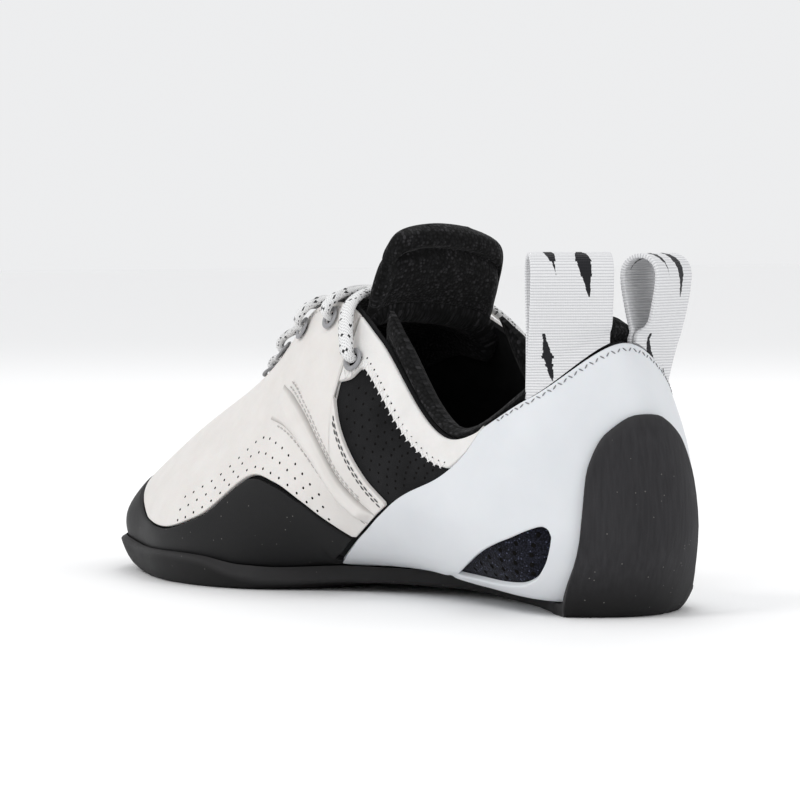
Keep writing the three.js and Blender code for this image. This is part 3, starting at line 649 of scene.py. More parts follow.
def sole_depth(rounds, rises):
    """The sole's outside: a rim round its edge, and a thinner patch up the heel."""
    side = smoothstep(rises, RIM_TO, PATCH_RISE)
    patch = smoothstep(PATCH_HALF - np.abs(rounds - HEEL_ROUND), 0, PATCH_BLEND)
    return SOLE_SEAT + SOLE_RIM + (HEEL_PATCH - SOLE_RIM) * side * patch


def tread_down(points, rounds, rises):
    """Thickens the sole downwards where it faces the floor, and lets nothing below it."""
    facing = smoothstep(-outward(rounds, rises)[..., 2], TREAD_FROM, TREAD_FULL)
    points[..., 2] = np.maximum(points[..., 2] - facing * (SOLE_RUBBER - SOLE_RIM), 0)
    return points


def sole_marks(rounds, rises):
    """Where the sole is a buffed heel patch, and how near a point is to the ground edge."""
    beside = PATCH_HALF + BUFFED_MARGIN - np.abs(rounds - HEEL_ROUND)
    patch = smoothstep(beside, 0, BUFFED_FADE) * smoothstep(rises, BUFFED_FROM, BUFFED_TO)
    below = (SOLE_EDGE(np.mod(rounds, ROUND)) - rises) * RISE_MM
    return {"patch": patch, "edge": 1 - smoothstep(below, WORN_FULL, WORN_REACH)}


def black_rubber(name, colours, roughness, worn):
    """Matt black rubber with a mottle, buffing strokes and dust; worn adds the paler ground edge."""
    finish = Finish(name, Specular_IOR_Level=0.22)
    grain = use(finish, GRAIN, Fine_per_metre=2600.0, Broad_per_metre=45.0)
    dust = use(finish, DUST, Cells_per_metre=1500.0, Share=0.012)
    mottle = range_of(finish, grain["Mottle"], 0.32, 0.7)
    colour = colour_mix(finish, mottle, *colours)
    rough = range_of(finish, grain["Mottle"], 0.3, 0.7, *roughness)
    height = grain["Height"]
    if worn:
        stretched = finish.node("ShaderNodeMapping", {
            "Vector": finish.node("ShaderNodeTexCoord").outputs["Object"], "Scale": STROKES_PER_METRE,
        })
        strokes = finish.node("ShaderNodeTexNoise", {
            "Vector": stretched.outputs[0], "Scale": 1.0, "Detail": 2.0,
        })
        patch = finish.node("ShaderNodeAttribute", attribute_name="patch").outputs["Fac"]
        edge = finish.node("ShaderNodeAttribute", attribute_name="edge").outputs["Fac"]
        buffed = colour_mix(finish, strokes.outputs["Fac"], (.014, .0135, .015), (.034, .033, .036))
        colour = colour_mix(finish, patch, colour, buffed)
        colour = colour_mix(finish, math_node(finish.tree, "MULTIPLY", edge, 0.5), colour, (.040, .039, .040))
        rubbed = math_node(finish.tree, "MULTIPLY", strokes.outputs["Fac"], patch)
        height = math_node(finish.tree, "ADD", height, rubbed)
    finish.feed("Base Color", colour_mix(finish, dust["Mask"], colour, (.11, .105, .10)))
    finish.feed("Roughness", rough)
    finish.bump(height, 0.28, 0.18)
    return finish.material


HEEL_COLUMNS = (*np.arange(8.26, 8.74, 0.02), *np.arange(9.24, 9.68, 0.02))
SOLE_BLACK = black_rubber("black sole rubber", ((.005, .005, .0055), (.0105, .010, .010)), (0.60, 0.78), True)
sole = layer_piece(
    "outsole_sheet", 0, ROUND, level(0), SOLE_EDGE, SOLE_SEAT, sole_depth,
    rim=1.25, cell=1.7, shape=tread_down, marks=sole_marks, columns=HEEL_COLUMNS,
)
fitted(sole, SOLE_BLACK, "sole_rubber", "outsole")

# Toe rand: thinner, smoother black rubber over the toes and both sides of the forefoot, for hooking.
# It is cemented under the sole's edge and its upper edge is skived thin.
BUTT = 0.045
TOE_RAND_END = 5.5
TOE_RAND_EDGE = edge_curve([
    (0, 2.72), (.3, 2.71), (1, 2.55), (2, 2.1), (2.9, 1.78), (3.56, 1.98), (4.24, 2.34), (4.64, 2.18),
    (4.92, 1.97), (5.2, 1.68), (5.52, 1.36),
])


def toe_rand_low(rounds):
    """Under the sole's rim, and above the heel rand where that lies below."""
    at = np.abs(rounds)
    return np.maximum(lap_under(rounds), np.where(at > RAND_START, RAND_FRONT(at) + 2 * BUTT, 0))


toe_rand = layer_piece(
    "toe_hook_rand", -TOE_RAND_END, TOE_RAND_END, toe_rand_low, lambda rounds: TOE_RAND_EDGE(np.abs(rounds)),
    RAND_BOTTOM, RAND_TOP, rim=0.5, cell=1.7,
)
RAND_BLACK = black_rubber(
    "black rand rubber", ((.005, .005, .0055), (.009, .009, .0095)), (0.52, 0.66), False,
)
fitted(toe_rand, RAND_BLACK, "rand_rubber", "toe_rand")

# Vamp: white synthetic over the toes that runs on as the eyestays, 1.2 mm thick with a soft, fine
# grain. Its rear edge laps over the black quarter, and its lower panel is perforated.
VAMP_SHEET = 1.2
VAMP_TOP = CLEARANCE + VAMP_SHEET
VAMP_END = 6.18
EYESTAY_END = 5.46
VAMP_BACK = 5.48
EDGE_INSET = 0.03
PORES_PER_METRE = 1500.0

# Each soft crease: its line on the chart, its depth and its half width in millimetres
CREASES = (
    (((3.5, 3.05), (3.95, 2.98), (4.35, 2.84)), 0.55, 2.2),
    (((4.1, 3.38), (4.5, 3.3), (4.86, 3.14)), 0.5, 2.0),
    (((4.6, 3.62), (4.95, 3.46), (5.24, 3.2)), 0.45, 1.9),
    (((2.6, 3.12), (3.0, 2.98), (3.3, 2.74)), 0.35, 2.4),
)
VAMP_REAR = edge_curve([(5.48, 3.12), (5.6, 2.84), (5.92, 2.34), (6.2, 1.99)])


def vamp_low(rounds):
    """Beside the toe rand, and above the heel rand behind it."""
    at = np.abs(rounds)
    return np.maximum(TOE_RAND_EDGE(at), np.where(at > RAND_START, RAND_FRONT(at), 0)) + BUTT


def vamp_high(rounds):
    """Along the throat, and down the rear edge behind it."""
    at = np.abs(rounds)
    return np.where(at < VAMP_BACK, TOP_RISE - EDGE_INSET, VAMP_REAR(at))


def white_synthetic(name, shades, folds):
    """Warm white coated microfibre: fine pores, a soft mottle and painted shade along the ridges' feet."""
    finish = Finish(name, Specular_IOR_Level=0.38, Subsurface_Weight=0.03, Subsurface_Scale=0.001)
    grain = use(finish, GRAIN, Fine_per_metre=1900.0, Broad_per_metre=folds)
    mottle = range_of(finish, grain["Mottle"], 0.3, 0.7)
    # Painted shade: along the feet of the vamp ridges the white is darkened towards warm grey.
    foot = finish.node("ShaderNodeAttribute", attribute_name="foot").outputs["Fac"]
    seam = math_node(finish.tree, "MULTIPLY", foot, 0.6)
    finish.feed("Base Color", colour_mix(finish, seam, colour_mix(finish, mottle, *shades), (.22, .20, .185)))
    finish.feed("Roughness", range_of(finish, grain["Mottle"], 0.3, 0.7, 0.58, 0.46))
    pores = finish.node("ShaderNodeTexVoronoi", {
        "Vector": finish.node("ShaderNodeTexCoord").outputs["Object"], "Scale": PORES_PER_METRE,
    })
    deep = math_node(finish.tree, "MULTIPLY", pores.outputs["Distance"], 0.6)
    height = math_node(finish.tree, "ADD", grain["Height"], deep)
    soft = math_node(finish.tree, "MULTIPLY", grain["Mottle"], 3.0)
    finish.bump(math_node(finish.tree, "ADD", height, soft), 0.22, 0.22)
    return finish.material


def vamp_depth(rounds, rises):
    """The vamp's outside, with a few soft creases where the ball flexes."""
    depth = np.full(rises.shape, VAMP_TOP)
    for line, sunk, half in CREASES:
        depth -= sunk * np.exp(-(away_from_line(line, np.abs(rounds), rises) / half) ** 2)
    return depth


VAMP_WHITE = white_synthetic("warm white synthetic", ((.70, .672, .645), (.745, .72, .695)), 110.0)
vamp = layer_piece(
    "vamp_and_eyestays", -VAMP_END, VAMP_END, vamp_low, vamp_high, CLEARANCE, vamp_depth, rim=0.5, cell=1.5,
    columns=(-VAMP_BACK, -EYESTAY_END, EYESTAY_END, VAMP_BACK),
)
fitted(vamp, VAMP_WHITE, "vamp_synthetic", "vamp")

# Vamp ridges: a padded roll of the same white synthetic on each side, from the eyestay down to the
# rand, with stitching along both of its feet.
SIDES = (("medial", 1), ("lateral", -1))
RIDGE_FROM = 4.3
RIDGE_TO = 5.98
RIDGE_HALF = 0.16
RIDGE_FOOT = 0.04
RIDGE_HEIGHT = 2.8
RIDGE_ROUNDING = 0.75
RIDGE_SWELL = 0.5
RIDGE_LEAD = 0.02
RIDGE_LANDING = 0.26
RIDGE_LEAST = 0.01
SEAM_FROM = 0.72
RIDGE_MIDDLE = edge_curve([
    (4.3, 3.1), (4.7, 2.92), (5.08, 2.66), (5.36, 2.38), (5.6, 2.06), (5.86, 1.78), (6, 1.64),
])


def ridge_low(rounds):
    at = np.abs(rounds)
    return np.maximum(RIDGE_MIDDLE(at) - RIDGE_HALF, RAND_FRONT(np.maximum(at, RAND_START)) + BUTT)


def ridge_high(rounds):
    return np.maximum(RIDGE_MIDDLE(np.abs(rounds)) + RIDGE_HALF, ridge_low(rounds) + RIDGE_LEAST)


def ridge_depth(rounds, rises):
    """A roll that swells out of the vamp and fades at its front end and at the heel rand."""
    at = np.abs(rounds)
    across = np.clip((rises - RIDGE_MIDDLE(at)) / RIDGE_HALF, -1, 1)
    swell = np.cos(across * math.pi / 2) ** RIDGE_ROUNDING
    swell = swell * smoothstep(at, RIDGE_FROM - RIDGE_LEAD, RIDGE_FROM + RIDGE_SWELL)
    swell = swell * smoothstep(rises - RAND_FRONT(np.maximum(at, RAND_START)), BUTT, RIDGE_LANDING)
    return VAMP_TOP + RIDGE_FOOT + RIDGE_HEIGHT * swell


def ridge_seam_shade(rounds, rises):
    """How near a point is to the seams along the roll's feet, where shade is painted on the white."""
    across = np.abs(rises - RIDGE_MIDDLE(np.abs(rounds))) / RIDGE_HALF
    return {"foot": smoothstep(across, SEAM_FROM, 1.0)}


def side_span(side, start, end):
    """The start and end of a medial stretch, or of its twin on the lateral side."""
    return (start, end) if side > 0 else (-end, -start)


for name, side in SIDES:
    ridge = layer_piece(
        f"ridge_roll_{name}", *side_span(side, RIDGE_FROM, RIDGE_TO), ridge_low, ridge_high,
        VAMP_TOP + RIDGE_LEAST, ridge_depth, rim=0.02, cell=0.7, marks=ridge_seam_shade,
    )
    fitted(ridge, VAMP_WHITE, "vamp_synthetic", f"vamp_ridge_{name}")

# Topline binding: a folded strip of white synthetic round the collar, sewn down with a zigzag. In
# front it widens into the tab that holds the top eyelet.
TAB_FRONT = 5.5
TAB_END = 7.5
BINDING_RIM = 0.7
TAB_BOTTOM = edge_curve([
    (5.5, 3.28), (5.66, 3.36), (5.86, 3.56), (6.24, 3.44), (6.56, 3.32), (6.8, 3.28), (7.16, 3.2),
])


def binding_low(rounds):
    """The tab's and the strip's lower edge, above the heel rand."""
    at = np.abs(rounds)
    return np.maximum(TAB_BOTTOM(at), RAND_FRONT(at) + 1.5 * BUTT)


BINDING_WHITE = white_synthetic("white binding", ((.72, .705, .685), (.78, .765, .75)), 150.0)
for name, side in SIDES:
    binding = layer_piece(
        f"topline_strip_{name}", *side_span(side, TAB_FRONT, TAB_END), binding_low,
        level(TOP_RISE - EDGE_INSET), CLEARANCE, VAMP_TOP, rim=BINDING_RIM, cell=1.4,
    )
    fitted(binding, BINDING_WHITE, "binding_synthetic", f"topline_binding_{name}")

# Eyelets: five small matt rings on each side, four on the eyestay and one on the tab.
EYELETS = (2.2, 3.2, 4.0, 4.85, 5.68)
EYELET_RISE = 3.8
TAB_EYELET_RISE = 3.56
EYELET_BORE = 1.9
EYELET_RIM = 1.5
EYELET_HEIGHT = 0.8
EYELET_EASE = 0.15
EYELET_DEPTH = VAMP_TOP + CLEARANCE + EYELET_EASE
RING_STEPS = 28
RING_ROUNDING = 10


def eyelet_seat(at):
    """The centre of an eyelet's underside and the way that it faces."""
    rise = TAB_EYELET_RISE if abs(at) > TAB_FRONT else EYELET_RISE
    return off_last(at, rise, EYELET_DEPTH), outward(at, rise)


def facing_axes(normal):
    """Two axes across the way that an eyelet faces."""
    across = np.cross(normal, (0, 0, 1))
    across /= np.linalg.norm(across)
    return across, np.cross(normal, across)


def ring_mesh():
    """All ten rings as one closed mesh each, with an oval section."""
    turn = np.linspace(0, 2 * math.pi, RING_STEPS, endpoint=False)
    lift = np.linspace(0, 2 * math.pi, RING_ROUNDING, endpoint=False)
    radius = EYELET_BORE + EYELET_RIM / 2 * (1 + np.cos(lift))
    height = EYELET_HEIGHT / 2 * (1 + np.sin(lift))
    points, faces = [], []
    for at in [side * at for _, side in SIDES for at in EYELETS]:
        seat, normal = eyelet_seat(at)
        across, up = facing_axes(normal)
        base = len(points)
        for angle in turn:
            spoke = across * math.cos(angle) + up * math.sin(angle)
            points += [seat + spoke * r + normal * h for r, h in zip(radius, height)]
        for i in range(RING_STEPS):
            for j in range(RING_ROUNDING):
                a, b = i * RING_ROUNDING, ((i + 1) % RING_STEPS) * RING_ROUNDING
                k = (j + 1) % RING_ROUNDING
                faces.append([base + a + j, base + b + j, base + b + k, base + a + k])
    mesh = bpy.data.meshes.new("eyelet_rings")
    mesh.from_pydata([tuple(point * MM) for point in points], [], faces)
    return mesh


def matt_ring():
    finish = Finish("matt eyelet ring", Specular_IOR_Level=0.5)
    grain = use(finish, GRAIN, Fine_per_metre=3000.0, Broad_per_metre=400.0)
    finish.feed("Base Color", colour_mix(finish, grain["Mottle"], (.20, .20, .21), (.34, .34, .35)))
    finish.feed("Roughness", range_of(finish, grain["Mottle"], 0.3, 0.7, 0.38, 0.5))
    return finish.material


rings = shown(ring_mesh(), "eyelet_rings")
ring_nodes = [f"eyelet_{name}_{i + 1}" for name, _ in SIDES for i in range(len(EYELETS))]
fitted(rings, matt_ring(), "eyelet_ring", *ring_nodes)

# Collar lining: a padded roll of black spacer knit, foam inside, sewn in along the topline. It
# swells above the white edge and thins towards its front ends.
LINING_FRONT = 5.95
LINING_TOP = 4.3
LINING_BOTTOM = 3.25
LINING_THIN = 0.4
LINING_PAD = 5.8
LINING_OVER = 2.4
LINING_SEAM = 3.86
LINING_SEAM_HALF = 0.035
LINING_SEAM_DEPTH = 0.45
OVER_FROM = 0.03
OVER_FULL = 0.12


def lining_round(rounds, rises):
    """How full the roll is: it rounds over at its top and bottom and thins towards its front ends."""
    height = np.clip((rises - LINING_BOTTOM) / (LINING_TOP - LINING_BOTTOM), 0, 1)
    front = smoothstep(HEEL_ROUND - LINING_FRONT - np.abs(rounds - HEEL_ROUND), -0.05, LINING_THIN)
    return np.sqrt(1 - np.abs(2 * height - 1) ** 4) * np.sqrt(front)


def lining_inner(rounds, rises):
    """The roll's face inside the shoe, drawn in along a seam below its top."""
    seam = 1 - LINING_SEAM_DEPTH * np.exp(-((rises - LINING_SEAM) / LINING_SEAM_HALF) ** 2)
    return INSIDE - LINING_PAD * lining_round(rounds, rises) * seam


def lining_outer(rounds, rises):
    """The roll's face against the upper, which stands out a little above the topline."""
    over = smoothstep(rises, TOP_RISE + OVER_FROM, TOP_RISE + OVER_FULL)
    return INSIDE + LINING_OVER * over * lining_round(rounds, rises)


def black_knit(name, loops, depth):
    """Black spacer knit: round loops with dark gaps and a few paler threads."""
    finish = Finish(
        name, Roughness=0.94, Sheen_Weight=0.06, Sheen_Roughness=0.45, Specular_IOR_Level=0.2,
    )
    knit = use(finish, KNIT, Loops_per_mm=loops)
    grain = use(finish, GRAIN, Fine_per_metre=5200.0, Broad_per_metre=120.0)
    speckle = range_of(finish, knit["Speckle"], 0.55, 1.0)
    strand = colour_mix(finish, speckle, (.007, .007, .0075), (.030, .029, .031))
    finish.feed("Base Color", colour_mix(finish, knit["Gap"], strand, (.0015, .0015, .0015)))
    fuzz = math_node(finish.tree, "MULTIPLY", grain["Height"], 0.25)
    finish.bump(math_node(finish.tree, "ADD", knit["Height"], fuzz), 0.5, depth)
    return finish.material


SPACER_KNIT = black_knit("black spacer knit", 1.15, 0.55)
lining = layer_piece(
    "collar_roll", LINING_FRONT, ROUND - LINING_FRONT, level(LINING_BOTTOM), level(LINING_TOP),
    lining_inner, lining_outer, rim=1.6, cell=1.2,
)
fitted(lining, SPACER_KNIT, "padded_knit", "collar_lining")

# Tongue: a long padded strip of the same knit under the lace. Above the instep it ends in a plump
# lobe with a sewn channel across it, and its edges are sewn thin.
TONGUE_ROUNDS = (0.8, 1.4, 2, 2.7, 3.4, 4.1, 4.75, 5.35)
TONGUE_LAP = 3.62
TONGUE_EASE = 0.9
TONGUE_DEPTH = INSIDE - TONGUE_EASE
TONGUE_TOE = (10, 0, -5.5)
TONGUE_TOE_WIDTH = 0.8
TONGUE_PAD = 4.6
LOBE_LEAN = 11.2
LOBE_HEIGHT = 24
LOBE_FROM = 8.2
LOBE_FULL = 10.5
LOBE_PUFF = 2.2
PUFF_IN_FRONT = 0.35
TONGUE_TAPER = 2.2
TONGUE_CROWN = 2.3
CHANNEL_AT = 11.1
CHANNEL_BOW = 0.9
CHANNEL_WIDTH = 0.26
CHANNEL_DEPTH = 0.5
PIPING_AT = 0.9
PIPING_WIDTH = 0.03
PIPING_DEPTH = 0.22
ROWS_PER_STEP = 7
ACROSS = 45
CENTRE = slice(ACROSS // 2, ACROSS // 2 + 1)

# The lobe's rows: how far back, how high and how wide, as shares of its lean, height and width
LOBE = (
    (.11, .125, .60), (.30, .333, .60), (.54, .55, .58), (.77, .75, .50), (.93, .91, .33), (1, .985, .10),
)


def run_along(points):
    """How far along a line of points each one lies."""
    return np.concatenate([[0], np.cumsum(np.linalg.norm(np.diff(points, axis=0), axis=1))])


def tongue_rows():
    """The tongue's outer face, as rows from its toe end to the tip of its lobe."""
    rows = [(TONGUE_ROUNDS[0], TONGUE_TOE, TONGUE_TOE_WIDTH)]
    rows += [(at, (0, 0, 0), 1) for at in TONGUE_ROUNDS]
    for back, height, width in LOBE:
        rows.append((TONGUE_ROUNDS[-1], (-back * LOBE_LEAN, 0, height * LOBE_HEIGHT), width))
    share = np.sin(np.linspace(-1, 1, ACROSS) * math.pi / 2)
    grid = []
    for at, move, width in rows:
        corners = ((1, TONGUE_LAP), (1, TOP_RISE), (-1, TOP_RISE), (-1, TONGUE_LAP))
        points = np.array([off_last(side * at, rise, TONGUE_DEPTH) for side, rise in corners])
        ring = np.concatenate([[2 * points[0] - points[1]], points, [2 * points[3] - points[2]]])
        place = (1 + share * width) / 2 * 3
        k = np.clip(np.floor(place), 0, 2).astype(int)
        grid.append(spline([ring[k + step] for step in range(4)], (place - k)[:, None]) + move)
    grid = np.array(grid)
    grid = np.concatenate([[2 * grid[0] - grid[1]], grid, [2 * grid[-1] - grid[-2]]])
    dense = [
        spline([grid[k + step] for step in range(4)], share_on)
        for k in range(len(rows) - 1) for share_on in np.arange(ROWS_PER_STEP) / ROWS_PER_STEP
    ]
    return np.array([*dense, grid[-2]]), share


def tongue_piece():
    """The tongue as a crowned pad, fuller in its lobe, with a channel and an edge sewn into it."""
    face, share = tongue_rows()
    at = np.arange(len(face)) / ROWS_PER_STEP
    lobe = smoothstep(at, LOBE_FROM, LOBE_FULL)[:, None]
    way = np.gradient(face, axis=0)
    way += lobe[..., None] * (way[:, CENTRE] - way)
    normal = np.cross(way, np.gradient(face, axis=1))
    normal /= np.maximum(np.linalg.norm(normal, axis=-1, keepdims=True), 1e-9)
    from_end = np.minimum(at, at[-1] - at)
    row = np.sqrt(np.clip(1 - (1 - np.clip(from_end / TONGUE_TAPER, 0, 1)) ** 2, 0, 1))[:, None]
    side = np.sqrt(1 - np.abs(share) ** TONGUE_CROWN)[None]
    bow = CHANNEL_AT + CHANNEL_BOW * (1 - share[None] ** 2)
    sewn = 1 - CHANNEL_DEPTH * lobe * np.exp(-((at[:, None] - bow) / CHANNEL_WIDTH) ** 2)
    piping = 1 - PIPING_DEPTH * lobe * np.exp(-((np.abs(share)[None] - PIPING_AT) / PIPING_WIDTH) ** 2)
    half = TONGUE_PAD / 2 * row * side * sewn * piping
    middle = face - normal * TONGUE_PAD / 2
    puff = LOBE_PUFF * lobe * row * side * sewn * piping
    outer = middle + normal * (half + PUFF_IN_FRONT * puff)[..., None]
    inner = middle - normal * (half + puff)[..., None]
    seen = outer + lobe[..., None] * (inner - outer)
    along = run_along(seen[:, ACROSS // 2])
    wide = np.cumsum(np.linalg.norm(np.diff(seen, axis=1, prepend=seen[:, :1]), axis=2), axis=1)
    uv = np.stack(np.broadcast_arrays(wide - wide[:, CENTRE], along[:, None]), -1)
    return closed_shell(outer, inner, np.zeros((len(face) - 1, ACROSS - 1), bool), uv, "tongue_pad")


tongue = tongue_piece()
fitted(tongue, SPACER_KNIT, "padded_knit", "tongue")

# Lace: a flat white braid with black flecks, 4.8 mm wide. It runs out of each eyelet, over the tongue
# and into the next one on the other side, and its hidden ends stop at the top pair.
LACE_WIDTH = 4.8
LACE_THICKNESS = 2.1
LACE_LIFT = EYELET_HEIGHT + 2.5 * CLEARANCE + LACE_THICKNESS / 2
LACE_CROWN = 2.2
TOP_CROWN = 3.6
TOP_FORWARD = 3
TOP_EDGE = 5.3
OVER_LIFT = 0.9
LACE_STEPS = 64
LACE_SIDES = 14
LACE_SQUARE = 0.7
LACE_EDGE = 0.8
LACE_EASE = 0.2
BUNCHED_HALF = 1.45
BUNCHED_TO = 0.4
FLAT_FROM = 4.5
BORE_START = 0.1

# Where a leg of the lace leaves its eyelet: above the usual lift, and out from the bore
LEG_PLACES = ((-0.6, 0.5), (0.1, 2.6))


def smooth_path(points, count):
    """Centripetal spline through the points, at even distances."""
    points = np.array(points)
    ring = np.concatenate([[2 * points[0] - points[1]], points, [2 * points[-1] - points[-2]]])
    place = np.linspace(0, len(points) - 1, 40 * len(points))
    k = np.clip(np.floor(place), 0, len(points) - 2).astype(int)
    dense = spline([ring[k + step] for step in range(4)], (place - k)[:, None])
    run = run_along(dense)
    even = np.linspace(0, run[-1], count)
    return np.stack([np.interp(even, run, dense[:, axis]) for axis in range(3)], 1), even


def lace_bar(start, end, over=0.0):
    """Rings of points round one crossing of the lace, and its length so far at each."""
    top = max(abs(start), abs(end)) > TOP_EDGE

    def throat(at):
        at = math.copysign(min(abs(at), TOP_EDGE), at)
        return off_last(at, TOP_RISE, VAMP_TOP + CLEARANCE + LACE_THICKNESS / 2 + LACE_EASE)
    edges = [throat(start), throat(end)]
    forward, crown = (TOP_FORWARD, TOP_CROWN) if top else (0, LACE_CROWN)
    middle = (edges[0] + edges[1]) / 2 + (forward, 0, over + crown)
    legs = []
    for at, edge in ((start, edges[0]), (end, edges[1])):
        seat, normal = eyelet_seat(at)
        away = edge - seat
        away -= normal * (away @ normal)
        away /= np.linalg.norm(away)
        out = [seat + normal * (LACE_LIFT + lift) + away * reach for lift, reach in LEG_PLACES]
        legs.append([seat + normal * BORE_START, *out, edge])
    path, run = smooth_path([*legs[0], middle, *reversed(legs[1])], LACE_STEPS)
    share = np.linspace(0, 1, LACE_STEPS)[:, None]
    up = eyelet_seat(start)[1] * (1 - share) + eyelet_seat(end)[1] * share
    along = np.gradient(path, axis=0)
    along /= np.linalg.norm(along, axis=1, keepdims=True)
    across = np.cross(along, up)
    across /= np.linalg.norm(across, axis=1, keepdims=True)
    up = np.cross(across, along)
    flat = smoothstep(np.minimum(run, run[-1] - run), BUNCHED_TO, FLAT_FROM)[:, None]
    turn = np.linspace(0, 2 * math.pi, LACE_SIDES, endpoint=False)
    half = BUNCHED_HALF + (LACE_WIDTH / 2 - BUNCHED_HALF) * flat
    wide = np.sign(np.cos(turn)) * np.abs(np.cos(turn)) ** LACE_SQUARE * half
    tall = np.sign(np.sin(turn)) * np.abs(np.sin(turn)) ** LACE_EDGE * LACE_THICKNESS / 2
    rings = path[:, None] + across[:, None] * wide[..., None] + up[:, None] * tall[None, :, None]
    return rings, run


def tube_mesh(tubes, name):
    """Closed tubes of points, with UV round the tube in steps of its sides and along it in millimetres."""
    points, faces, uv = [], [], []
    for rings, run in tubes:
        base = len(points)
        steps, sides = rings.shape[:2]
        points += rings.reshape(-1, 3).tolist()
        for i in range(steps - 1):
            for j in range(sides):
                k = (j + 1) % sides
                faces.append([base + i * sides + j, base + i * sides + k,
                              base + (i + 1) * sides + k, base + (i + 1) * sides + j])
                uv += [(j, run[i]), (j + 1, run[i]), (j + 1, run[i + 1]), (j, run[i + 1])]
        for i, order in ((0, range(sides - 1, -1, -1)), (steps - 1, range(sides))):
            faces.append([base + i * sides + j for j in order])
            uv += [(j, run[i]) for j in order]
    mesh = bpy.data.meshes.new(name)
    mesh.from_pydata((np.array(points) * MM).tolist(), [], faces)
    mesh.uv_layers.new(name="chart").data.foreach_set("uv", np.array(uv, np.float32).ravel())
    return mesh


def humps(tree, along, pitch):
    """A row of round humps, one for every pitch."""
    wave = math_node(tree, "SINE", math_node(tree, "MULTIPLY", along, math.pi / pitch))
    return math_node(tree, "ABSOLUTE", wave)


def braid_effect():
    """Two crossing sets of plaited strands on a UV map in millimetres, and which strands are dark."""
    tree, given, out = effect(
        "plaited strands", {"Strands per mm": 1.0, "Dark share": 0.1}, ("Height", "Dark"),
    )
    coordinates = tree.nodes.new("ShaderNodeTexCoord").outputs["UV"]
    place = add_node(tree, "ShaderNodeSeparateXYZ", {0: coordinates}).outputs
    rate = given.outputs["Strands per mm"]
    u, v = (math_node(tree, "MULTIPLY", axis, rate) for axis in place[:2])
    turns = [math_node(tree, operation, u, v) for operation in ("ADD", "SUBTRACT")]
    waves = [humps(tree, turn, 1) for turn in turns]
    cells = [math_node(tree, "FLOOR", turn) for turn in turns]
    pick = add_node(tree, "ShaderNodeCombineXYZ", {"X": cells[0], "Y": cells[1]}).outputs[0]
    noise = add_node(tree, "ShaderNodeTexWhiteNoise", {"Vector": pick}, noise_dimensions="2D")
    dark = math_node(tree, "LESS_THAN", noise.outputs["Value"], given.outputs["Dark share"])
    tree.links.new(math_node(tree, "MAXIMUM", *waves), out.inputs["Height"])
    tree.links.new(dark, out.inputs["Dark"])
    return tree


BRAID = braid_effect()


def white_braid():
    finish = Finish("white lace braid", Roughness=0.82, Sheen_Weight=0.2, Specular_IOR_Level=0.35)
    braid = use(finish, BRAID, Strands_per_mm=1.05, Dark_share=0.09)
    # Painted shade: the braid is painted darker in the hollows between its strands and lighter on their
    # crests.
    shade = colour_mix(finish, braid["Height"], (.52, .52, .53), (.86, .86, .855))
    finish.feed("Base Color", colour_mix(finish, braid["Dark"], shade, (.014, .014, .016)))
    finish.bump(braid["Height"], 0.8, 0.35)
    return finish.material


bars = [lace_bar(EYELETS[0], -EYELETS[0])]
for lower, higher in zip(EYELETS, EYELETS[1:]):
    bars += [lace_bar(lower, -higher), lace_bar(higher, -lower, OVER_LIFT)]
lace = shown(tube_mesh(bars, "flat_lace"), "flat_lace", crease=60)
fitted(lace, white_braid(), "lace_braid", "lace")

# Pull loops: a band of ribbed white webbing, 22 mm wide, folded double and sewn to the topline on each
# side of the heel. Slanted black darts are woven into it in two lanes.
LOOP_WIDTH = 22
LOOP_HEIGHT = 31
LOOP_OPENING = 8.5
LOOP_SEAM = 5
LOOP_FOOT = 0.25
LOOP_DRAPE = 14
RIB_PITCH = 1.5
WEBBING = 1.5
LOOP_NECK = 2 * WEBBING + 0.2
NECK_EASE = 0.1
FLARE_OUT = 0.72
FLARE_UP = 0.62
RIB_HEIGHT = 0.05
RIB_ROOM = 0.12
WEBBING_RIM = 0.35
THREAD_PITCH = 0.45
DART_RAGGED = 0.55
DART_SLANT = 6.0
DART_SHIFT = 1.5
DART_RATE = 3.6
DART_MIDDLE = 1.2
LOOP_REACH = 0.3
LOOP_ROUNDS = (("medial", 8.4), ("lateral", 9.62))
LOOP_STEPS = 90
LOOP_CELLS = 26

# The darts' lanes in millimetres: place across the band, repeat, offset along it and half width
DART_LANES = ((5.6, 29.0, 6.0, 1.7), (14.6, 37.0, 21.0, 2.3))


def loop_path():
    """The band's middle line in its own plane, up one leg, round the top and down the other."""
    half = (LOOP_OPENING + WEBBING) / 2
    neck = (LOOP_NECK - WEBBING) / 2
    shoulder = LOOP_HEIGHT - WEBBING / 2 - half
    leg = [
        (neck, LOOP_FOOT), (neck, LOOP_SEAM / 2), (neck + NECK_EASE, LOOP_SEAM),
        (half * FLARE_OUT, shoulder * FLARE_UP),
    ]
    turns = np.linspace(0, math.pi, 7)
    bend = [(half * math.cos(turn), shoulder + half * math.sin(turn)) for turn in turns]
    points = [*leg, *bend, *((-x, y) for x, y in reversed(leg))]
    return smooth_path([(x, y, 0) for x, y in points], LOOP_STEPS)


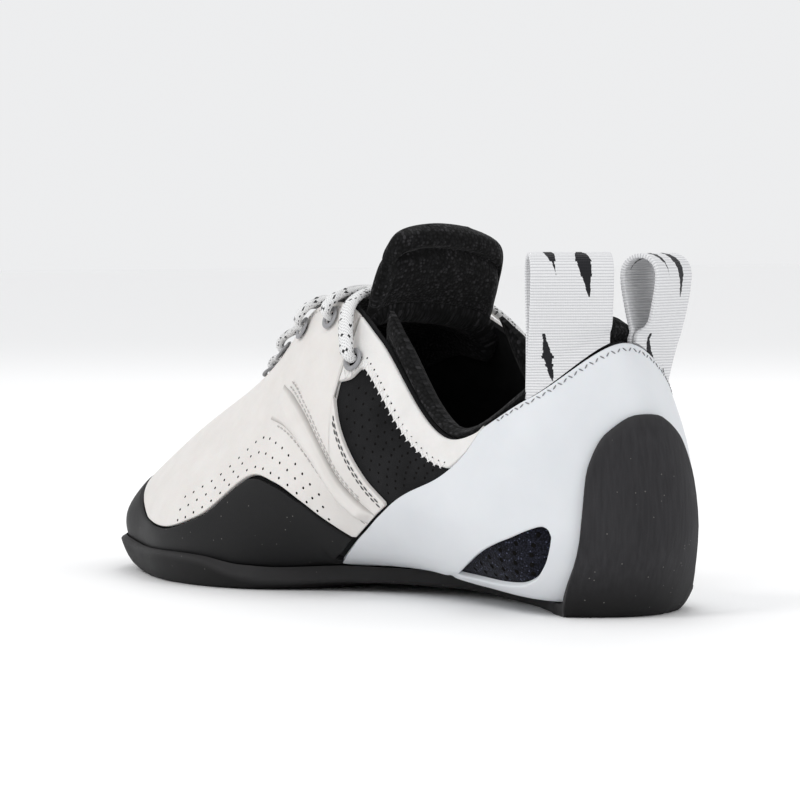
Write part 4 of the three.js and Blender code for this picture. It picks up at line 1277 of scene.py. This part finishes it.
def pull_loop(name, at):
    """One loop over the topline. Its feet follow the topline's slope and turn, and so do its ribs."""
    path, run = loop_path()
    along = np.gradient(path, axis=0)
    side = np.stack([along[:, 1], -along[:, 0], 0 * run], 1)
    side /= np.linalg.norm(side, axis=1, keepdims=True)
    across, drop = spread(
        -LOOP_WIDTH / 2, LOOP_WIDTH / 2, LOOP_WIDTH, WEBBING_RIM, LOOP_WIDTH / LOOP_CELLS,
    )
    ahead, behind = (on_last(at + step, TOP_RISE) for step in (LOOP_REACH, -LOOP_REACH))
    length = (ahead - behind) * (1, 1, 0)
    length /= np.linalg.norm(length)
    facing = np.array((length[1], -length[0], 0))
    upright = np.array((0, 0, 1))
    seat = off_last(at, TOP_RISE, CLEARANCE / 2)
    near = np.linspace(at - 1, at + 1, 200)
    topline = off_last(near, TOP_RISE, np.zeros(200)) - seat
    place = topline @ length
    lower, aside = (np.interp(across, place, topline @ axis) for axis in (upright, facing))
    drape = (1 - smoothstep(path[:, 1], LOOP_FOOT, LOOP_DRAPE))[:, None]
    climb = np.sign(run[-1] / 2 - run)[:, None] * drape * lower[None]
    woven = run[:, None] + climb
    rib = RIB_HEIGHT * np.cos(woven * 2 * math.pi / RIB_PITCH)
    skins = []
    for sign in (1, -1):
        thick = sign * (WEBBING / 2 - RIB_ROOM - drop[None] + rib)
        flat = path[:, None] + side[:, None] * thick[..., None]
        flat[..., 0] += drape * aside[None]
        flat[..., 1] += drape * lower[None]
        stood = flat[..., :1] * facing + flat[..., 1:2] * upright
        skins.append(seat + stood + across[None, :, None] * length)
    uv = np.stack(np.broadcast_arrays(across[None] + LOOP_WIDTH / 2, woven), -1)
    open_cells = np.zeros((len(run) - 1, len(across) - 1), bool)
    if np.cross(path[1] - path[0], (0, 0, 1)) @ side[0] < 0:
        skins.reverse()
    return closed_shell(skins[0], skins[1], open_cells, uv, name)


def webbing():
    """White ribbed webbing with two lanes of slanted black darts, ragged from rib to rib."""
    finish = Finish("ribbed white webbing", Roughness=0.75, Sheen_Weight=0.06, Specular_IOR_Level=0.25)
    coordinates = finish.node("ShaderNodeTexCoord").outputs["UV"]
    across, up = finish.node("ShaderNodeSeparateXYZ", {0: coordinates}).outputs[:2]

    def worked(operation, a, b=0.0):
        return math_node(finish.tree, operation, a, b)
    ribs = humps(finish.tree, up, RIB_PITCH / 2)
    threads = humps(finish.tree, across, THREAD_PITCH)
    height = worked("ADD", ribs, worked("MULTIPLY", threads, 0.35))
    rib = worked("FLOOR", worked("DIVIDE", up, RIB_PITCH / 2))
    pick = finish.node("ShaderNodeTexWhiteNoise", {"W": rib}, noise_dimensions="1D")
    ragged = worked("MULTIPLY", pick.outputs["Value"], DART_RAGGED)
    darts = []
    for lane, repeat, offset, half in DART_LANES:
        along = worked("FRACT", worked("DIVIDE", worked("ADD", up, offset), repeat))
        slant = worked("ADD", across, worked("MULTIPLY", along, DART_SLANT))
        away = worked("ABSOLUTE", worked("SUBTRACT", slant, lane + DART_SHIFT))
        centred = worked("SUBTRACT", worked("MULTIPLY", along, DART_RATE), DART_MIDDLE)
        taper = worked("SUBTRACT", 1.0, worked("ABSOLUTE", centred))
        reach = worked("SUBTRACT", worked("MULTIPLY", taper, half), ragged)
        darts.append(worked("LESS_THAN", away, reach))
    dart = worked("MAXIMUM", *darts)
    # Painted shade: the webbing is painted darker between its ribs and lighter on their crests.
    shade = colour_mix(finish, ribs, (.56, .565, .58), (.80, .80, .81))
    finish.feed("Base Color", colour_mix(finish, dart, shade, (.010, .010, .013)))
    finish.bump(height, 0.6, 0.25)
    return finish.material


WEBBING_WHITE = webbing()
for name, at in LOOP_ROUNDS:
    fitted(pull_loop(f"webbing_loop_{name}", at), WEBBING_WHITE, "webbing", f"pull_loop_{name}")

# Stitching: lockstitch in dark thread along the vamp's rear edge, in pale thread beside the ridges and
# the eyestays, a white zigzag that holds the binding down and a grey one below the pull loops.
STITCH_DEPTH = 0.04
ON_VAMP = VAMP_TOP + STITCH_DEPTH
ON_RAND = RAND_TOP + STITCH_DEPTH
RAND_CLEAR = 0.1
VAMP_ROWS = (0.09, 0.155)
RIDGE_ROWS = (-0.19, 0.19, 0.235)
EYESTAY_ROW = 3.915
BINDING_ZIGZAG = (-0.005, 0.1)
HEEL_ZIGZAG = (3.84, 3.915)
PATH_STEPS = 240
ZIGZAG_STEPS = 400


def geometry_tree(name, inputs):
    """An empty Geometry Nodes tree with named inputs, and its first and last nodes."""
    tree = bpy.data.node_groups.new(name, "GeometryNodeTree")
    tree.interface.new_socket("Places", in_out="INPUT", socket_type="NodeSocketGeometry")
    for key in inputs:
        tree.interface.new_socket(key, in_out="INPUT", socket_type="NodeSocketFloat")
    tree.interface.new_socket("Material", in_out="INPUT", socket_type="NodeSocketMaterial")
    tree.interface.new_socket("Pieces", in_out="OUTPUT", socket_type="NodeSocketGeometry")
    return tree, tree.nodes.new("NodeGroupInput").outputs, tree.nodes.new("NodeGroupOutput")


def facing_turn(tree):
    """A turn that points Z along each place's facing and X along its way."""
    facing, way = (
        add_node(
            tree, "GeometryNodeInputNamedAttribute", {"Name": name}, data_type="FLOAT_VECTOR",
        ).outputs["Attribute"]
        for name in ("facing", "way")
    )
    first = add_node(tree, "FunctionNodeAlignRotationToVector", {"Vector": way}, axis="X")
    return add_node(tree, "FunctionNodeAlignRotationToVector", {
        "Rotation": first.outputs["Rotation"], "Vector": facing,
    }, axis="Z", pivot_axis="X").outputs["Rotation"]


def placed_tree(name, inputs, shape):
    """A tree that puts one shape at every place, turned to face outwards."""
    tree, given, out = geometry_tree(name, inputs)
    placed = add_node(tree, "GeometryNodeInstanceOnPoints", {
        "Points": given["Places"], "Instance": shape(tree, given), "Rotation": facing_turn(tree),
    })
    real = add_node(tree, "GeometryNodeRealizeInstances", {"Geometry": placed.outputs["Instances"]})
    smooth = add_node(tree, "GeometryNodeSetShadeSmooth", {"Geometry": real.outputs[0]})
    painted = add_node(tree, "GeometryNodeSetMaterial", {
        "Geometry": smooth.outputs[0], "Material": given["Material"],
    })
    tree.links.new(painted.outputs[0], out.inputs["Pieces"])
    return tree


def thread_shape(tree, given):
    """One stitch: a small ball drawn out to a stitch's length and its thread's width."""
    ball = add_node(tree, "GeometryNodeMeshUVSphere", {"Segments": 6, "Rings": 5, "Radius": 0.5})
    size = add_node(tree, "ShaderNodeCombineXYZ", {
        "X": given["Length"], "Y": given["Thread"], "Z": given["Thread"],
    })
    return add_node(tree, "GeometryNodeTransform", {
        "Geometry": ball.outputs["Mesh"], "Scale": size.outputs[0],
    }).outputs[0]


STITCHES = placed_tree("stitches", ("Length", "Thread"), thread_shape)


def placed_piece(name, tree, places, material, slot, **sizes):
    """A piece of the tree's shapes at the places, each a point with its facing and its way."""
    mesh = bpy.data.meshes.new(f"{name}_places")
    mesh.from_pydata((places[0] * MM).tolist(), [], [])
    for key, values in zip(("facing", "way"), places[1:]):
        held = mesh.attributes.new(key, "FLOAT_VECTOR", "POINT")
        held.data.foreach_set("vector", values.astype(np.float32).ravel())
    holder = bpy.data.objects.new(f"{name}_places", mesh)
    bpy.context.scene.collection.objects.link(holder)
    modifier = holder.modifiers.new("places", "NODES")
    modifier.node_group = tree
    for item in tree.interface.items_tree:
        if item.in_out == "INPUT" and item.name in sizes:
            modifier[item.identifier] = sizes[item.name] * MM
        if item.in_out == "INPUT" and item.name == "Material":
            modifier[item.identifier] = material
    seen = holder.evaluated_get(bpy.context.evaluated_depsgraph_get())
    made = bpy.data.meshes.new_from_object(seen)
    made.name = name
    bpy.data.objects.remove(holder)
    piece = bpy.data.objects.new(name, made)
    bpy.context.scene.collection.objects.link(piece)
    return fitted(piece, None, slot)


def along_path(rounds, rises, step, depth):
    """Places at even steps along a path of the chart."""
    fine = off_last(rounds, rises, np.full(rounds.shape, depth))
    run = run_along(fine)
    at = np.arange(step / 2, run[-1], step)
    r, t = np.interp(at, run, rounds), np.interp(at, run, rises)
    points = off_last(r, t, np.full(r.shape, depth))
    way = np.stack([np.interp(at, run, np.gradient(fine[:, axis])) for axis in range(3)], 1)
    return points, outward(r, t), way


def joined(rows):
    """The places of several rows as one set."""
    return [np.concatenate(parts) for parts in zip(*rows)]


def both_sides(start, end, rise, step, depth, keep=None, sides=(1, -1)):
    """Places along an edge of the chart on both sides of the shoe, where keep lets them be."""
    rows = []
    for side in sides:
        rounds = np.linspace(start, end, PATH_STEPS)
        rises = rise(rounds)
        if keep is not None:
            held = keep(rounds, rises)
            rounds, rises = rounds[held], rises[held]
        if len(rounds) > 2:
            rows.append(along_path(side * rounds, rises, step, depth))
    return rows


def zigzag(start, end, low, high, pitch, depth, sides=(1, -1)):
    """Places of the legs of a zigzag between two edges."""
    rows = []
    for side in sides:
        rounds = np.linspace(start, end, ZIGZAG_STEPS)
        run = run_along(on_last(side * rounds, low(rounds)))
        at = np.interp(np.arange(0, run[-1], pitch / 2), run, rounds)
        rise = np.where(np.arange(len(at)) % 2, low(at), high(at))
        corners = off_last(side * at, rise, np.full(at.shape, depth))
        middle = side * (at[1:] + at[:-1]) / 2, (rise[1:] + rise[:-1]) / 2
        points = off_last(*middle, np.full(len(at) - 1, depth))
        rows.append((points, outward(*middle), np.diff(corners, axis=0)))
    return rows


def thread(name, dark, pale):
    """Twisted sewing thread."""
    finish = Finish(name, Roughness=0.65, Sheen_Weight=0.15)
    twist = finish.node("ShaderNodeTexNoise", {
        "Vector": finish.node("ShaderNodeTexCoord").outputs["Object"], "Scale": 2600.0,
    })
    finish.feed("Base Color", colour_mix(finish, twist.outputs["Fac"], dark, pale))
    return finish.material


DARK_THREAD = thread("dark grey thread", (.035, .034, .036), (.10, .10, .10))
GREY_THREAD = thread("grey thread", (.10, .10, .105), (.26, .26, .27))
PALE_THREAD = thread("pale thread", (.34, .325, .31), (.60, .58, .56))
WHITE_THREAD = thread("white thread", (.70, .69, .68), (.90, .89, .88))


def beside(edge, away):
    """An edge at a distance from another."""
    return lambda rounds: edge(rounds) + away


def above_rand(rounds, rises):
    return rises > RAND_FRONT(rounds) + RAND_CLEAR


dark_rows = []
for drop in VAMP_ROWS:
    dark_rows += both_sides(5.52, 6.16, beside(VAMP_REAR, -drop), 2.3, ON_VAMP, above_rand)
placed_piece(
    "dark_stitches", STITCHES, joined(dark_rows), DARK_THREAD, "vamp_synthetic", Length=1.9, Thread=0.5,
)

pale_rows = []
for aside in RIDGE_ROWS:
    pale_rows += both_sides(4.5, 5.84, beside(RIDGE_MIDDLE, aside), 2.2, ON_VAMP, above_rand)
pale_rows += both_sides(0.35, 5.36, level(EYESTAY_ROW), 2.4, ON_VAMP)
placed_piece(
    "pale_stitches", STITCHES, joined(pale_rows), PALE_THREAD, "vamp_synthetic", Length=1.8, Thread=0.5,
)

binding_rows = zigzag(5.56, 7.12, *(beside(binding_low, away) for away in BINDING_ZIGZAG), 2.6, ON_VAMP)
placed_piece(
    "binding_stitches", STITCHES, joined(binding_rows), WHITE_THREAD, "binding_synthetic",
    Length=3.0, Thread=0.5,
)

heel_rows = zigzag(7.66, 10.34, *(level(rise) for rise in HEEL_ZIGZAG), 3.2, ON_RAND, (1,))
placed_piece(
    "heel_stitches", STITCHES, joined(heel_rows), GREY_THREAD, "white_rubber", Length=1.5, Thread=0.4,
)

# Pinholes: punched through the vamp's lower panel and the quarter to let the foot breathe, left by the
# needle along the binding, and laid in the window's knit. These and the eyelets' bores are dark pits:
# their colour is partly the dark layer under each hole and partly painted shade inside it.
PIT_HEIGHT = 0.05
PIT_TAPER = 0.6
PIT_SIDES = 12
VAMP_HOLE_ROWS = (0.12, 0.27, 0.42)
NEEDLE_ROW = 0.125
QUARTER_HOLE_ROWS = np.arange(1.9, 3.5, 0.13)
WINDOW_HOLE_ROWS = np.arange(1.22, 2.2, 0.17)
BORE_DROP = 0.1
BORE_MARGIN = 0.15


def pit_shape(tree, given):
    """One pit, as a flat cone that stands barely above its surface."""
    low = math_node(tree, "MULTIPLY", given["Radius"], PIT_TAPER)
    return add_node(tree, "GeometryNodeMeshCone", {
        "Vertices": PIT_SIDES, "Radius Top": low, "Radius Bottom": given["Radius"], "Depth": PIT_HEIGHT * MM,
    }, fill_type="NGON").outputs["Mesh"]


def dark_pinhole():
    finish = Finish("dark pinhole", Roughness=1.0, Specular_IOR_Level=0.0)
    mottle = finish.node("ShaderNodeTexNoise", {
        "Vector": finish.node("ShaderNodeTexCoord").outputs["Object"], "Scale": 800.0,
    }).outputs["Fac"]
    # The near-black is partly the dark layer under each hole and partly painted shade inside it.
    finish.feed("Base Color", colour_mix(finish, mottle, (.003, .003, .003), (.014, .013, .012)))
    return finish.material


def in_lower_panel(rounds, rises):
    return (rises < RIDGE_MIDDLE(rounds) - 0.27) & (rises > RAND_FRONT(rounds) + 0.12)


def in_quarter(rounds, rises):
    below_binding = (rises > VAMP_REAR(rounds) + 0.14) & (rises < binding_low(rounds) - 0.12)
    return below_binding & (rises > RAND_FRONT(rounds) + 0.14)


def in_window(rounds, rises):
    return (rises > WINDOW_BOTTOM(rounds) + 0.06) & (rises < WINDOW_TOP(rounds) - 0.06)


PITS = placed_tree("pinholes", ("Radius",), pit_shape)
PIT_DARK = dark_pinhole()

vamp_holes = []
for lift in VAMP_HOLE_ROWS:
    vamp_holes += both_sides(3.1, 5.34, beside(TOE_RAND_EDGE, lift), 4.1, VAMP_TOP, in_lower_panel)
placed_piece("vamp_pinholes", PITS, joined(vamp_holes), PIT_DARK, "vamp_synthetic", Radius=0.4)

needle_holes = both_sides(5.56, 7.1, beside(binding_low, NEEDLE_ROW), 2.6, VAMP_TOP)
placed_piece("needle_holes", PITS, joined(needle_holes), PIT_DARK, "binding_synthetic", Radius=0.3)

quarter_holes = []
for rise in QUARTER_HOLE_ROWS:
    quarter_holes += both_sides(5.6, 7.1, level(rise), 3.6, 0.0, in_quarter)
window_holes = []
for rise in WINDOW_HOLE_ROWS:
    window_holes += both_sides(WINDOW_FROM, WINDOW_TO, level(rise), 5.2, 0.02, in_window, (1,))
placed_piece("quarter_pinholes", PITS, joined(quarter_holes), PIT_DARK, "quarter_knit", Radius=0.38)
placed_piece("window_pinholes", PITS, joined(window_holes), PIT_DARK, "quarter_knit", Radius=0.7)

bores = []
for seat, normal in (eyelet_seat(side * at) for _, side in SIDES for at in EYELETS):
    bores.append((seat - normal * (CLEARANCE + BORE_DROP), normal, facing_axes(normal)[0]))
placed_piece(
    "eyelet_bores", PITS, [np.array(part) for part in zip(*bores)], PIT_DARK, "eyelet_ring",
    Radius=EYELET_BORE + BORE_MARGIN,
)

# Floor and light: a plain pale floor under an even, pale sky, with three large soft lights: the key
# above the medial side, a fill behind the heel and one more in front, on the lateral side.
FLOOR_HALF = 6
FLOOR_CORNERS = ((-1, -1), (1, -1), (1, 1), (-1, 1))
FLOOR_COLOUR = (.985, .985, .985, 1)
SKY_COLOUR = (.985, .99, 1, 1)
SKY_STRENGTH = 0.86

# Each light: its name, place and width in metres, and its watts
LIGHTS = (
    ("key", (-0.1, 1.4, 1.3), 0.7, 8),
    ("fill", (-1.6, -0.3, 0.7), 0.8, 2.5),
    ("back", (0.9, -0.8, 1.2), 0.7, 4),
)
AIM = Vector((-0.005, 0, 0.045))

floor_mesh = bpy.data.meshes.new("pale_floor")
floor_mesh.from_pydata([(x * FLOOR_HALF, y * FLOOR_HALF, 0) for x, y in FLOOR_CORNERS], [], [(0, 1, 2, 3)])
floor = bpy.data.objects.new("pale_floor", floor_mesh)
bpy.context.scene.collection.objects.link(floor)
pale = Finish("pale floor", Roughness=0.9)
pale.shader.inputs["Base Color"].default_value = FLOOR_COLOUR
floor.data.materials.append(pale.material)

world = bpy.data.worlds.new("soft studio")
world.use_nodes = True
world.node_tree.nodes["Background"].inputs["Color"].default_value = SKY_COLOUR
world.node_tree.nodes["Background"].inputs["Strength"].default_value = SKY_STRENGTH
bpy.context.scene.world = world
bpy.context.scene.view_settings.view_transform = "Standard"

for name, place, width, power in LIGHTS:
    data = bpy.data.lights.new(name, "AREA")
    data.size = width
    data.energy = power
    light = bpy.data.objects.new(name, data)
    light.location = place
    light.rotation_euler = (AIM - Vector(place)).to_track_quat("-Z", "Y").to_euler()
    bpy.context.scene.collection.objects.link(light)

# Camera: the photograph's direction in plan, from behind the heel on the medial side, lowered to
# stay just above the floor that the shoe stands on.
CAMERA_TURN = math.radians(235)
CAMERA_RISE = math.radians(2.5)
CAMERA_AWAY = 1.2
CAMERA_AIM = Vector((0, 0, 0.053))
LENS = 190
SENSOR = 36
level_away = math.cos(CAMERA_RISE)
away = Vector((
    math.sin(CAMERA_TURN) * level_away, -math.cos(CAMERA_TURN) * level_away, math.sin(CAMERA_RISE),
))
camera = bpy.data.objects.new("camera", bpy.data.cameras.new("camera"))
camera.data.sensor_width = SENSOR
camera.data.lens = LENS
camera.data.clip_start = 0.01
camera.location = CAMERA_AIM + away * CAMERA_AWAY
camera.rotation_euler = (-away).to_track_quat("-Z", "Y").to_euler()
bpy.context.scene.collection.objects.link(camera)
bpy.context.scene.camera = camera
